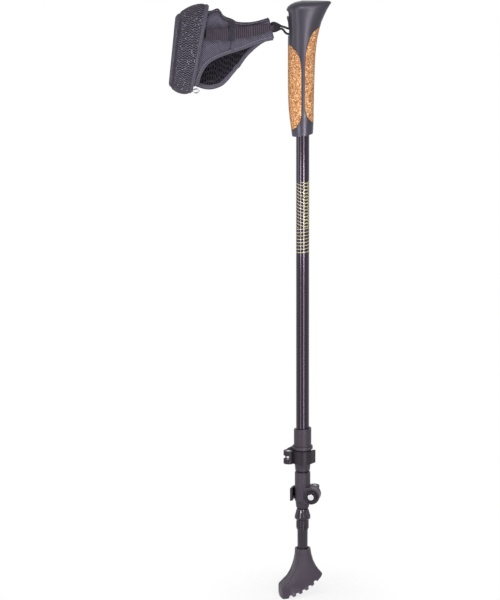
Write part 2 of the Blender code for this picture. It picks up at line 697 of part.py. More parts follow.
def sheet(grid, thickness, side):
    """Closed sheet from a grid of points, thickened away from the hand."""
    bm = bmesh.new()
    verts = [[bm.verts.new(point) for point in column] for column in grid]
    for left, right in zip(verts, verts[1:]):
        for j in range(len(left) - 1):
            corners = (left[j], left[j + 1], right[j + 1], right[j])
            bm.faces.new(corners if side > 0 else corners[::-1])
    mesh = bpy.data.meshes.new("sheet")
    bm.to_mesh(mesh)
    bm.free()
    shape = bpy.data.objects.new("sheet", mesh)
    bpy.context.scene.collection.objects.link(shape)
    solidify = shape.modifiers.new("thickness", "SOLIDIFY")
    solidify.thickness = thickness
    solidify.offset = 1.0
    return keep_modifiers(shape)


def band_point(angle, out, across):
    """Point of the wrist band: angle round it, distance outside its inner face, share across it."""
    up = math.cos(angle)
    aside = math.sin(angle)
    width = BAND_FOOT_WIDTH + (BAND_TOP_WIDTH - BAND_FOOT_WIDTH) * (up + 1) / 2
    size = 1 + BAND_TAPER * across - BAND_BULGE * across ** 2
    local = Vector((across * width / 2, (BAND_HALF_DEPTH * size + out) * aside,
                    (BAND_HALF_HEIGHT * size + out) * up))
    return BAND_CENTRE + Matrix.Rotation(BAND_LEAN, 3, "Y") @ local


def ring_band(start, end, steps, out, thickness, width_share):
    """Strip of the wrist band's form from one angle to another; a whole turn gives a ring."""
    closed = abs(end - start - 2 * math.pi) < 0.001
    bm = bmesh.new()
    sections = []
    for i in range(steps if closed else steps + 1):
        angle = start + (end - start) * i / steps
        corners = []
        for across, rise in ((-1, 0.25), (-0.86, 0.0), (-0.3, 0.0), (0.3, 0.0), (0.86, 0.0), (1, 0.25),
                             (1, 0.75), (0.86, 1.0), (0.3, 1.0), (-0.3, 1.0), (-0.86, 1.0), (-1, 0.75)):
            corners.append(bm.verts.new(band_point(angle, out + rise * thickness, across * width_share)))
        sections.append(corners)
    pairs = list(zip(sections, sections[1:])) + ([(sections[-1], sections[0])] if closed else [])
    for here, there in pairs:
        for k in range(len(here)):
            m = (k + 1) % len(here)
            bm.faces.new((here[k], here[m], there[m], there[k]))
    if not closed:
        bm.faces.new(sections[0][::-1])
        bm.faces.new(sections[-1])
    return solid(bm)


def webbing_middle(x):
    """Height of the webbing's middle, which rises towards the cord."""
    return WEBBING_CENTRE_Z * (1.0 - (1.0 - wrist_share_at(x)) ** 3)


def make_webbing():
    """Webbing strip: along the near leaf, round the cord and back along the far leaf."""
    lift = LEAF_THICKNESS + PATCH_THICKNESS + 2 * FABRIC_GAP
    rows = (-0.5, 0.0, 0.5)
    steps = 12

    def run(side, end):
        columns = []
        for i in range(steps + 1):
            x = end + (LEAF_START_X - end) * i / steps
            middle = webbing_middle(x)
            taper = (1.0 - wrist_share_at(x)) ** FOLD_TAPER_POWER
            width = WEBBING_WIDTH + (FOLD_WIDTH - WEBBING_WIDTH) * taper
            columns.append([leaf_point(side, x, middle + row * width, lift) for row in rows])
        return columns

    near, far = run(-1, WEBBING_FRONT_END), run(1, WEBBING_REAR_END)
    half_depth = -near[-1][1].y
    fold = []
    for reach, aside in arc((0.0, 0.0), 1.0, -math.pi / 2, math.pi / 2, 8):
        fold.append([Vector((reach * FOLD_REACH, aside * half_depth, row * FOLD_WIDTH)) for row in rows])
    return sheet(near + fold + far[::-1], WEBBING_THICKNESS, -1)


def make_strap(hinge):
    """Two leaves, twill patches, webbing, wrist band, closing flap and the ring at its foot."""
    for name, side, low_edge in (("front", -1, FRONT_LOW_EDGE), ("palm", 1, REAR_LOW_EDGE)):
        leaf = leaf_points(side, low_edge, 17, 6, LEAF_START_X, LEAF_END_X)
        seat(sheet(leaf, LEAF_THICKNESS, side), name + "_leaf", "strap_mesh", hinge)
        patch = leaf_points(side, low_edge, 10, 4, PATCH_START_X, PATCH_END_X,
                            PATCH_MARGIN, PATCH_MARGIN, LEAF_THICKNESS + FABRIC_GAP)
        seat(sheet(patch, PATCH_THICKNESS, side), name + "_patch", "strap_twill", hinge)
    seat(make_webbing(), "strap_webbing", "strap_web", hinge)
    band = ring_band(0.0, 2 * math.pi, 32, 0.0, BAND_THICKNESS, 1.0)
    seat(band, "wrist_band", "strap_mesh", hinge)
    flap_out = BAND_THICKNESS + FABRIC_GAP
    flap = ring_band(FLAP_START, FLAP_END, 14, flap_out, FLAP_THICKNESS, FLAP_WIDTH_SHARE)
    seat(flap, "wrist_flap", "strap_web", hinge)
    foot = band_point(math.pi, BAND_THICKNESS / 2, 1.0)
    beside = SEAT_GAP + FOOT_RING_RADIUS + FOOT_RING_WIRE
    centre = foot + Vector((beside, 0.0, FOOT_RING_RISE))
    ring = [centre + Vector((x, 0.0, z * FOOT_RING_FLATNESS))
            for x, z in arc((0.0, 0.0), FOOT_RING_RADIUS, 0.0, 2 * math.pi, 20)[:-1]]
    seat(wire(ring, FOOT_RING_WIRE, True, 2), "strap_ring", "steel", hinge)


def make_tube(node, finish, frame, outer_radius, low, high):
    """Straight tube with open ends."""
    inner = outer_radius - TUBE_WALL
    tube = turned([(inner, low), (outer_radius, low), (outer_radius, high), (inner, high)], 32)
    seat(tube, node, finish, frame)


def make_guide(node, frame, tube_radius, tube_top, bore_radius):
    """Bush in the top of a sliding tube, with a cap that runs in the tube around it."""
    plug = tube_radius - TUBE_WALL - SEAT_GAP
    cap = bore_radius - SEAT_GAP
    low = tube_top - GUIDE_LENGTH
    profile = [
        (0.0, low), (plug - EDGE_CUT, low), (plug, low + EDGE_CUT), (plug, tube_top + SEAT_GAP),
        (cap, tube_top + SEAT_GAP), (cap, tube_top + GUIDE_CAP - EDGE_CUT),
        (cap - EDGE_CUT, tube_top + GUIDE_CAP), (0.0, tube_top + GUIDE_CAP),
    ]
    seat(turned(profile, 24), node, "black_nylon", frame)


def make_collar(node, frame, tube_radius, inner_tube_radius, sleeve_top, tail, has_flange):
    """Clamp collar: sleeve on the outer tube, split jaw on the inner tube and two round ears."""
    sleeve = tube_radius + COLLAR_WALL
    jaw_foot = inner_tube_radius + COLLAR_WALL * 0.8
    chamfer = COLLAR_WALL * 0.3
    profile = [
        (0.0, -tail), (jaw_foot - chamfer, -tail), (jaw_foot, -tail + chamfer),
        (sleeve - chamfer, -BAND_HALF_REACH), (sleeve, -BAND_HALF_REACH + chamfer),
    ]
    if has_flange:
        flange = BAND_HALF_REACH + SEAT_GAP
        edge = chamfer / 2
        profile += [
            (sleeve, flange), (sleeve + FLANGE_EXTRA - edge, flange), (sleeve + FLANGE_EXTRA, flange + edge),
            (sleeve + FLANGE_EXTRA, flange + FLANGE_HEIGHT - edge),
            (sleeve + FLANGE_EXTRA - edge, flange + FLANGE_HEIGHT), (sleeve, flange + FLANGE_HEIGHT),
        ]
    profile += [(sleeve, sleeve_top - chamfer), (sleeve - chamfer, sleeve_top), (0.0, sleeve_top)]
    collar = turned(profile, 28)
    rim = [(-sleeve * 1.5, -sleeve * 1.5 * SLEEVE_RIM_SLANT), (sleeve * 1.5, sleeve * 1.5 * SLEEVE_RIM_SLANT),
           (sleeve * 1.5, sleeve), (-sleeve * 1.5, sleeve)]
    drop = sleeve_top - sleeve * SLEEVE_RIM_SLANT
    slanted = extruded([(-x, z + drop) for x, z in rim][::-1], -sleeve * 2, sleeve * 2, "Y")
    if has_flange:
        cut(collar, slanted)
    else:
        bpy.data.objects.remove(slanted)
    ear = [(EAR_ROOT_X, -EAR_RADIUS)] + arc((EAR_CENTRE_X, 0.0), EAR_RADIUS, -math.pi / 2, math.pi / 2, 14)
    ear += [(EAR_ROOT_X, EAR_RADIUS)]
    ears = soften(extruded(ear, FRONT_EAR_FACE, REAR_EAR_FACE, "Y"), EDGE_CUT, 1)
    combine(collar, ears, "UNION")
    recess = rod(EAR_RADIUS - EAR_RECESS_RIM, FRONT_EAR_FACE * 1.3, FRONT_EAR_FACE + EAR_RECESS_DEPTH,
                 "Y", (EAR_CENTRE_X, 0.0), 28)
    bore = rod(inner_tube_radius + SEAT_GAP, -tail * 1.2, sleeve_top, sides=28)
    socket = rod(tube_radius + SEAT_GAP, COLLAR_SEAT_RISE, sleeve_top * 1.3, sides=28)
    slit_half = CLAMP_SLIT / 2
    beyond = EAR_RADIUS * 3
    slit = extruded([
        (0.0, -tail * 1.2), (beyond, -tail * 1.2), (beyond, EAR_RADIUS * 1.2), (sleeve, EAR_RADIUS * 1.2),
        (sleeve, BAND_HALF_REACH), (0.0, BAND_HALF_REACH),
    ], -slit_half, slit_half, "Y")
    hole = rod(BOLT_RADIUS + SEAT_GAP, FRONT_EAR_FACE * 1.3, REAR_EAR_FACE * 1.5, "Y", (BOLT_X, 0.0), 16)
    cut(collar, recess, bore, socket, slit, hole)
    seat(collar, node, "black_nylon", frame)


def make_lever(node, frame):
    """Cam lever: a forked cam on the barrel pin and an arm that wraps round the collar."""
    pivot = (BOLT_X, LEVER_PIVOT_Y)
    outer = LEVER_INNER_RADIUS + LEVER_THICKNESS
    steps = 16
    inside, outside = [], []
    for i in range(steps + 1):
        angle = LEVER_START_ANGLE + (LEVER_END_ANGLE - LEVER_START_ANGLE) * i / steps
        flared = max(0.0, 1.0 - (LEVER_END_ANGLE - angle) / LEVER_FLARE_ANGLE)
        stand_off = LEVER_FLARE * flared ** 2
        for points, radius in ((inside, LEVER_INNER_RADIUS + stand_off), (outside, outer + stand_off * 1.4)):
            points.append((radius * math.cos(angle), radius * math.sin(angle)))
    arm = extruded(outside + inside[::-1], -LEVER_HALF_HEIGHT, LEVER_HALF_HEIGHT)
    cam_centre = (pivot[0], pivot[1] - CAM_OFFSET)
    cam = rod(CAM_RADIUS, -LEVER_HALF_HEIGHT, LEVER_HALF_HEIGHT, "Z", cam_centre, 28)
    lever = soften(combine(arm, cam, "UNION"), EDGE_CUT)
    slot_reach = CAM_RADIUS * 2
    slot = block((pivot[0] - CAM_RADIUS * 0.55, pivot[1] - slot_reach, -FORK_HALF_SLOT),
                 (pivot[0] + slot_reach, pivot[1] + slot_reach, FORK_HALF_SLOT))
    tall = LEVER_HALF_HEIGHT * 1.2
    bore = rod(BARREL_RADIUS + SEAT_GAP, -tall, tall, "Z", pivot, 20)
    cut(lever, slot, bore)
    seat(lever, node, "black_nylon", frame, (pivot[0], pivot[1], 0.0))


def make_bolt_set(name, frame):
    """Barrel pin, bolt and tension knob of one clamp."""
    pivot = (BOLT_X, LEVER_PIVOT_Y)
    pin_half = LEVER_HALF_HEIGHT - SEAT_GAP
    barrel = rod(BARREL_RADIUS, -pin_half, pin_half, "Z", pivot, 20)
    bolt_end = LEVER_PIVOT_Y + BARREL_RADIUS * 0.7
    across = rod(BOLT_RADIUS + SEAT_GAP, REAR_EAR_FACE, LEVER_PIVOT_Y + BARREL_RADIUS * 2, "Y", (BOLT_X, 0.0), 16)
    cut(barrel, across)
    seat(barrel, name + "_barrel_pin", "steel", frame, (pivot[0], pivot[1], 0.0))

    knob_face = FRONT_EAR_FACE + EAR_RECESS_DEPTH - SEAT_GAP
    knob_front = knob_face - KNOB_HEIGHT
    head_floor = knob_front + BOLT_HEAD_HEIGHT * 0.6
    knob = soften(rod(KNOB_RADIUS, knob_front, knob_face, "Y", (BOLT_X, 0.0), 32), EDGE_CUT)
    for i in range(KNOB_SCALLOPS):
        angle = 2 * math.pi * i / KNOB_SCALLOPS
        reach = KNOB_RADIUS + SCALLOP_RADIUS - SCALLOP_DEPTH
        spot = (BOLT_X + reach * math.cos(angle), reach * math.sin(angle))
        cut(knob, rod(SCALLOP_RADIUS, knob_front * 1.2, knob_face * 0.8, "Y", spot, 8))
    cut(knob, rod(BOLT_HEAD_RADIUS + SEAT_GAP, knob_front * 1.2, head_floor, "Y", (BOLT_X, 0.0), 24))
    cut(knob, rod(BOLT_RADIUS + SEAT_GAP, knob_front * 1.2, knob_face * 0.8, "Y", (BOLT_X, 0.0), 16))
    seat(knob, name + "_knob", "black_nylon", frame, (BOLT_X, 0.0, 0.0))

    head_back = head_floor - SEAT_GAP
    head = rod(BOLT_HEAD_RADIUS, head_back - BOLT_HEAD_HEIGHT, head_back, "Y", (BOLT_X, 0.0), 24)
    soften(head, EDGE_CUT / 2)
    shank = rod(BOLT_RADIUS, head_back - BOLT_HEAD_HEIGHT / 2, bolt_end, "Y", (BOLT_X, 0.0), 16)
    combine(head, shank, "UNION")
    seat(head, name + "_bolt", "steel", frame, (BOLT_X, 0.0, 0.0))


def make_ferrule(frame):
    """Tip ferrule: socket for the lower tube, fluted cone, basket neck and stem."""
    bore = LOWER_TUBE_RADIUS + SEAT_GAP
    profile = [
        (0.0, STEM_FOOT), (STEM_FOOT_RADIUS - STEM_FOOT_CUT, STEM_FOOT),
        (STEM_FOOT_RADIUS, STEM_FOOT + STEM_FOOT_CUT), (STEM_TOP_RADIUS, THREAD_FOOT),
        (THREAD_RADIUS - EDGE_CUT / 2, THREAD_FOOT), (THREAD_RADIUS, THREAD_FOOT + EDGE_CUT),
        (THREAD_RADIUS, CONE_FOOT), (CONE_FOOT_RADIUS - EDGE_CUT, CONE_FOOT),
        (CONE_FOOT_RADIUS, CONE_FOOT + EDGE_CUT), (CONE_FOOT_RADIUS, CONE_FOOT + FERRULE_FOOT_RIM),
        (FERRULE_CONE_TOP_RADIUS, FERRULE_TOP - FERRULE_TOP_CUT),
        (FERRULE_CONE_TOP_RADIUS - FERRULE_TOP_CUT, FERRULE_TOP),
        (bore, FERRULE_TOP), (bore, FERRULE_TOP - FERRULE_SOCKET_DEPTH), (0.0, FERRULE_TOP - FERRULE_SOCKET_DEPTH),
    ]
    ferrule = turned(profile, 30)
    for i in range(FERRULE_FLUTES):
        angle = 2 * math.pi * (i + 0.5) / FERRULE_FLUTES
        low, high = CONE_FOOT + FERRULE_FOOT_RIM, FERRULE_TOP - 2 * FERRULE_TOP_CUT
        slope = math.atan2(CONE_FOOT_RADIUS - FERRULE_CONE_TOP_RADIUS, high - low)
        middle = (CONE_FOOT_RADIUS + FERRULE_CONE_TOP_RADIUS) / 2
        radius = middle + FERRULE_FLUTE_RADIUS - FERRULE_FLUTE_DEPTH
        half = (high - low) / 2
        flute = rod(FERRULE_FLUTE_RADIUS, -half, half, "Z", (0.0, 0.0), 8)
        lean = Matrix.Rotation(angle, 4, "Z") @ Matrix.Translation((radius, 0.0, (low + high) / 2))
        flute.data.transform(lean @ Matrix.Rotation(-slope, 4, "Y"))
        cut(ferrule, flute)
    cut(ferrule, rod(CARBIDE_RADIUS + SEAT_GAP, STEM_FOOT * 1.1, STEM_FOOT + CARBIDE_REACH + SEAT_GAP, sides=16))
    seat(ferrule, "tip_ferrule", "black_nylon", frame)
    tip = [
        (0.0, STEM_FOOT - CARBIDE_REACH), (CARBIDE_RADIUS * 0.6, STEM_FOOT - CARBIDE_REACH),
        (CARBIDE_RADIUS, STEM_FOOT - CARBIDE_REACH + CARBIDE_TAPER),
        (CARBIDE_RADIUS, STEM_FOOT + CARBIDE_REACH),
        (0.0, STEM_FOOT + CARBIDE_REACH),
    ]
    seat(turned(tip, 16), "carbide_tip", "carbide", frame)


def paw_ring(rear_x, rear_drop, front_x, front_drop, half_width, squareness):
    """One ring of the paw between its rear point and its front point."""
    rear, front = Vector((rear_x, 0.0, -rear_drop)), Vector((front_x, 0.0, -front_drop))
    middle, reach = (rear + front) / 2, (front - rear) / 2
    ring = []
    for i in range(32):
        angle = 2 * math.pi * i / 32
        along = math.copysign(abs(math.cos(angle)) ** (2 / squareness), math.cos(angle))
        aside = math.copysign(abs(math.sin(angle)) ** (2 / squareness), math.sin(angle))
        ring.append(middle + reach * along + Vector((0.0, half_width * aside, 0.0)))
    return ring


def make_paw(frame):
    """Rubber paw: a lofted boot cut to a rocker sole, with treads, a stem bore and a washer."""
    paw = lofted([paw_ring(*ring) for ring in PAW_RINGS])
    centre = (PAW_SOLE_CENTRE_X, PAW_SOLE_CENTRE_ABOVE_RIM)
    reach = PAW_SOLE_RADIUS / 2
    first = FIRST_GROOVE_ANGLE - math.pi / 2
    rocker = arc(centre, PAW_SOLE_RADIUS, first, first + 2 * math.pi, TREAD_FACETS)[:-1]
    combine(paw, extruded(rocker, -reach, reach, "Y"), "INTERSECT")
    soften(paw, EDGE_CUT)
    mouth = [(half, -depth) for half, depth in TREAD_GROOVE]
    for i in range(TREAD_GROOVES):
        angle = FIRST_GROOVE_ANGLE + 2 * math.pi / TREAD_FACETS * i
        groove = extruded([(-half, -low) for half, low in mouth][::-1] + [(half, -low) for half, low in mouth],
                          -reach, reach, "Y")
        spot = Matrix.Translation((centre[0], 0.0, centre[1])) @ Matrix.Rotation(-angle, 4, "Y")
        groove.data.transform(spot @ Matrix.Translation((0.0, 0.0, -PAW_SOLE_RADIUS)))
        cut(paw, groove)
    stem_drop = PAW_RIM - STEM_FOOT
    bore_floor = -stem_drop - CARBIDE_REACH - SEAT_GAP
    bore = [
        (0.0, bore_floor), (CARBIDE_RADIUS + SLIDE_GAP * 2, bore_floor),
        (CARBIDE_RADIUS + SLIDE_GAP * 2, -stem_drop - WASHER_THICKNESS - SEAT_GAP * 2),
        (WASHER_RADIUS + SEAT_GAP, -stem_drop - WASHER_THICKNESS - SEAT_GAP * 2),
        (WASHER_RADIUS + SEAT_GAP, -stem_drop - SEAT_GAP),
        (STEM_FOOT_RADIUS + SEAT_GAP, -stem_drop), (STEM_TOP_RADIUS + SEAT_GAP, -PAW_MOUTH_DEPTH),
        (STEM_TOP_RADIUS + PAW_MOUTH_FLARE, 0.0), (STEM_TOP_RADIUS + PAW_MOUTH_FLARE, PAW_MOUTH_DEPTH),
        (0.0, PAW_MOUTH_DEPTH),
    ]
    cut(paw, turned(bore, 28))
    seat(paw, "rubber_paw", "paw_rubber", frame)
    high = -stem_drop - SEAT_GAP
    hole = CARBIDE_RADIUS + SEAT_GAP
    washer = turned([(hole, high - WASHER_THICKNESS), (WASHER_RADIUS, high - WASHER_THICKNESS),
                     (WASHER_RADIUS, high), (hole, high)], 24)
    seat(washer, "paw_washer", "steel", frame)


def make_shaft(shaft, upper_clamp, lower_clamp):
    """Tubes, guides and both clamps."""
    upper_foot = UPPER_CLAMP_Z + COLLAR_SEAT_RISE + SEAT_GAP
    middle_foot = LOWER_CLAMP_Z + COLLAR_SEAT_RISE + SEAT_GAP
    lower_foot = FERRULE_TOP - FERRULE_SOCKET_DEPTH + SEAT_GAP
    make_tube("upper_tube", "gloss_tube", shaft, UPPER_TUBE_RADIUS, upper_foot, TUBE_SOCKET_ABOVE_HAND)
    make_tube("middle_tube", "gloss_tube", shaft, MIDDLE_TUBE_RADIUS, middle_foot, MIDDLE_TUBE_TOP)
    make_tube("lower_tube", "gloss_tube", shaft, LOWER_TUBE_RADIUS, lower_foot, LOWER_TUBE_TOP)
    make_guide("middle_guide", shaft, MIDDLE_TUBE_RADIUS, MIDDLE_TUBE_TOP, UPPER_TUBE_RADIUS - TUBE_WALL)
    make_guide("lower_guide", shaft, LOWER_TUBE_RADIUS, LOWER_TUBE_TOP, MIDDLE_TUBE_RADIUS - TUBE_WALL)
    make_collar("upper_collar", upper_clamp, UPPER_TUBE_RADIUS, MIDDLE_TUBE_RADIUS,
                UPPER_SLEEVE_TOP, UPPER_COLLAR_TAIL, True)
    make_collar("lower_collar", lower_clamp, MIDDLE_TUBE_RADIUS, LOWER_TUBE_RADIUS,
                LOWER_SLEEVE_TOP, LOWER_COLLAR_TAIL, False)
    for name, clamp in (("upper", upper_clamp), ("lower", lower_clamp)):
        make_lever(name + "_lever", clamp)
        make_bolt_set(name, clamp)


def main():
    """Build the whole pole."""
    clear_scene()
    pole = make_frame("pole")
    make_grip(pole)
    make_trigger(pole)
    make_cord_loop(pole)
    make_strap(make_frame("strap_hinge", (STRAP_HINGE_X, 0.0, STRAP_HINGE_Z), 0.0, pole))
    upper_clamp = make_frame("upper_clamp", (0.0, 0.0, UPPER_CLAMP_Z), UPPER_CLAMP_TURN, pole)
    lower_clamp = make_frame("lower_clamp", (0.0, 0.0, LOWER_CLAMP_Z), LOWER_CLAMP_TURN, pole)
    make_shaft(pole, upper_clamp, lower_clamp)
    make_ferrule(pole)
    make_paw(make_frame("paw", (0.0, 0.0, PAW_RIM), PAW_TURN, pole))


main()
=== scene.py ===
"""Looks of a nordic walking pole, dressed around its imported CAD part.

Units are metres. +Z runs up the shaft, +X points the way the walker goes, and the origin is on the
shaft's axis at the middle of the hand.
"""
from __future__ import annotations

import json
import logging
import math
from dataclasses import dataclass
from enum import Enum
from functools import cache
from typing import Callable, ClassVar, Sequence

import bmesh
import bpy
from mathutils import Matrix, Vector


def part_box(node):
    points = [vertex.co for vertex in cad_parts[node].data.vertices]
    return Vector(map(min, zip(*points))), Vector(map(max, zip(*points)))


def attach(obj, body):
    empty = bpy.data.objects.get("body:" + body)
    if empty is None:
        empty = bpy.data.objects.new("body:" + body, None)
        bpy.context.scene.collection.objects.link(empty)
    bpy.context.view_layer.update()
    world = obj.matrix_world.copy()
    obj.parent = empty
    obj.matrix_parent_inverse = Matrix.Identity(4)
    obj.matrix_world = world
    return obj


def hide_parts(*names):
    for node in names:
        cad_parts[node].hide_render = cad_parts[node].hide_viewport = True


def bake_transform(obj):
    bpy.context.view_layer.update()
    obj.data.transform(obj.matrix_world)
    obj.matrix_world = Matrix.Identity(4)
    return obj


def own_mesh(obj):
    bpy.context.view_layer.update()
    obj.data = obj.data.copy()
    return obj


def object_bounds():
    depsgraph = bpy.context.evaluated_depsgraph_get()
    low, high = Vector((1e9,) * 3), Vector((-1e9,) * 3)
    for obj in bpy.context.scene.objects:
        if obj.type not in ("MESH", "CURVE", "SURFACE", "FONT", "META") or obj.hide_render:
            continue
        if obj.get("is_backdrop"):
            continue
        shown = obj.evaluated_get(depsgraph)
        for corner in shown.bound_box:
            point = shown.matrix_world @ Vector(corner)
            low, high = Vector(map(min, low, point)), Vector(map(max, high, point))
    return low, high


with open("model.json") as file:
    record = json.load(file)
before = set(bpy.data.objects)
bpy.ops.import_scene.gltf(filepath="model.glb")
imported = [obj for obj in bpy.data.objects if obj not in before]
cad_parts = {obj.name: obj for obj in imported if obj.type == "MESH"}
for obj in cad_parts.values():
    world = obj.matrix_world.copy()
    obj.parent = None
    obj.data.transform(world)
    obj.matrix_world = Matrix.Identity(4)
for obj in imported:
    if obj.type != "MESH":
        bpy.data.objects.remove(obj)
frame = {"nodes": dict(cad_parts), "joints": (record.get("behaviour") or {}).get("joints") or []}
CAD_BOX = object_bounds()

LOG = logging.getLogger("walking_pole")

Colour = tuple[float, float, float]
Point = tuple[float, float, float]
Outline = list[tuple[float, float]]
Curve = tuple[tuple[float, float], ...]
Grid = list[list[Vector]]
Column = list[tuple[Vector, Vector]]
Socket = bpy.types.NodeSocket
Thing = bpy.types.Object


def joint_place(name: str) -> Point:
    """Where a joint of the CAD part stands.

    Args:
        name: Name of the joint.

    Returns:
        Its place.
    """
    return next(tuple(joint["pos_m"]) for joint in frame["joints"] if joint["name"] == name)


STRAP_HINGE = joint_place("strap_swing")


def srgb(red: int, green: int, blue: int) -> Colour:
    """Turn a colour as it is seen into the linear one that a shader takes.

    Args:
        red: Red from 0 to 255.
        green: Green from 0 to 255.
        blue: Blue from 0 to 255.

    Returns:
        The linear colour.
    """
    def linear(value: int) -> float:
        """Undo the screen's curve for one channel."""
        share = value / 255
        return share / 12.92 if share <= 0.04045 else ((share + 0.055) / 1.055) ** 2.4

    return linear(red), linear(green), linear(blue)


class Side(Enum):
    """Which side of the hand strap or the paw a piece lies on, as the sign of its Y."""

    NEAR = -1
    FAR = 1

    @property
    def leaf(self) -> str:
        """Name of the strap's leaf on this side."""
        return "front" if self is Side.NEAR else "palm"


class Place(Enum):
    """What a finish measures its pattern in."""

    OBJECT = "Object"
    CLOTH = "UV"


class Body(Enum):
    """Bodies of the CAD part that dressed pieces ride on."""

    UPPER = "upper_section"
    LOOP = "cord_loop"
    STRAP = "hand_strap"
    LOWER = "lower_section"
    PAW = "paw"


# Finishes


class Wiring:
    """Node tree of a material or of the world, wired by short calls."""

    def __init__(self, tree: bpy.types.NodeTree) -> None:
        """Take the tree.

        Args:
            tree: The tree.
        """
        self.tree = tree

    def add(self, kind: str, **settings: object) -> bpy.types.Node:
        """Add one node.

        Args:
            kind: Node type.
            settings: Properties of the node.

        Returns:
            The node.
        """
        node = self.tree.nodes.new(kind)
        for key, value in settings.items():
            setattr(node, key, value)
        return node

    def feed(self, socket: Socket, value: object) -> None:
        """Link a socket to another, or set it to a constant.

        Args:
            socket: Input that takes the value.
            value: Output socket or constant.
        """
        if isinstance(value, Socket):
            self.tree.links.new(value, socket)
        else:
            socket.default_value = value

    def sums(self, operation: str, *values: object) -> Socket:
        """One step of arithmetic.

        Args:
            operation: Name of the operation.
            values: Its operands.

        Returns:
            The result.
        """
        node = self.add("ShaderNodeMath", operation=operation)
        for socket, value in zip(node.inputs, values):
            self.feed(socket, value)
        return node.outputs[0]

    def place(self, kind: Place) -> Socket:
        """Coordinates of the surface, in metres."""
        return self.add("ShaderNodeTexCoord").outputs[kind.value]

    def parts(self, vector: Socket) -> tuple[Socket, Socket, Socket]:
        """Take a vector or a colour apart.

        Args:
            vector: The vector.

        Returns:
            Its three parts.
        """
        node = self.add("ShaderNodeSeparateXYZ")
        self.feed(node.inputs[0], vector)
        return node.outputs[0], node.outputs[1], node.outputs[2]

    def stretched(self, vector: Socket, scale: Point) -> Socket:
        """Scale a vector along each axis.

        Args:
            vector: The vector.
            scale: Factor of each part.

        Returns:
            The scaled vector.
        """
        node = self.add("ShaderNodeMapping")
        self.feed(node.inputs["Vector"], vector)
        node.inputs["Scale"].default_value = scale
        return node.outputs[0]

    def grain(self, vector: Socket, size: float, detail: float = 2.0) -> Socket:
        """Soft noise.

        Args:
            vector: Coordinates in metres.
            size: Size of its clouds in metres.
            detail: How many finer layers it has.

        Returns:
            A value from 0 to 1.
        """
        node = self.add("ShaderNodeTexNoise")
        self.feed(node.inputs["Vector"], vector)
        node.inputs["Scale"].default_value = 1 / size
        node.inputs["Detail"].default_value = detail
        return node.outputs["Fac"]

    def cells(self, vector: Socket, size: float, randomness: float = 1.0,
              feature: str = "F1") -> bpy.types.Node:
        """Cells of a Voronoi pattern.

        Args:
            vector: Coordinates in metres.
            size: Size of a cell in metres.
            randomness: 0 for a regular lattice, 1 for a loose one.
            feature: Which distance it gives.

        Returns:
            The node, with Distance and Color outputs.
        """
        node = self.add("ShaderNodeTexVoronoi", feature=feature)
        self.feed(node.inputs["Vector"], vector)
        node.inputs["Scale"].default_value = 1 / size
        node.inputs["Randomness"].default_value = randomness
        return node

    def wave(self, along: Socket, pitch: float, shift: object = 0.0) -> Socket:
        """Sine wave along a value.

        Args:
            along: Distance in metres.
            pitch: Length of one wave in metres.
            shift: Phase in waves.

        Returns:
            A value from 0 to 1.
        """
        turns = self.sums("ADD", self.sums("DIVIDE", along, pitch), shift)
        swing = self.sums("SINE", self.sums("MULTIPLY", turns, 2 * math.pi))
        return self.sums("MULTIPLY_ADD", swing, 0.5, 0.5)

    def between(self, value: Socket, low: float, high: float) -> Socket:
        """Share of the way from low to high, held at 0 and 1, with soft ends.

        Args:
            value: The value.
            low: Where the share is 0.
            high: Where the share is 1.

        Returns:
            The share.
        """
        node = self.add("ShaderNodeMapRange", interpolation_type="SMOOTHSTEP")
        self.feed(node.inputs["Value"], value)
        node.inputs["From Min"].default_value = low
        node.inputs["From Max"].default_value = high
        return node.outputs["Result"]

    def ramp(self, value: Socket, stops: Sequence[tuple[float, Colour]]) -> Socket:
        """Colour read off a ramp.

        Args:
            value: Place on the ramp.
            stops: Place and colour of each stop.

        Returns:
            The colour.
        """
        node = self.add("ShaderNodeValToRGB")
        elements = node.color_ramp.elements
        while len(elements) < len(stops):
            elements.new(1.0)
        for element, (at, colour) in zip(elements, stops):
            element.position = at
            element.color = (*colour, 1.0)
        self.feed(node.inputs[0], value)
        return node.outputs[0]

    def mixed(self, factor: object, first: object, second: object) -> Socket:
        """Mix two colours.

        Args:
            factor: Share of the second.
            first: First colour.
            second: Second colour.

        Returns:
            The mixed colour.
        """
        node = self.add("ShaderNodeMix", data_type="RGBA")
        for socket, value in ((node.inputs[0], factor), (node.inputs[6], first), (node.inputs[7], second)):
            if isinstance(value, tuple):
                value = (*value, 1.0)
            self.feed(socket, value)
        return node.outputs[2]

    def seen_directly(self) -> Socket:
        """Tell the rays from the camera, and those that metal or glass sends on, from the rest.

        Returns:
            1 for those rays and 0 for the rest.
        """
        path = self.add("ShaderNodeLightPath")
        shiny = self.sums("MAXIMUM", path.outputs["Is Glossy Ray"], path.outputs["Is Transmission Ray"])
        return self.sums("MAXIMUM", path.outputs["Is Camera Ray"], shiny)


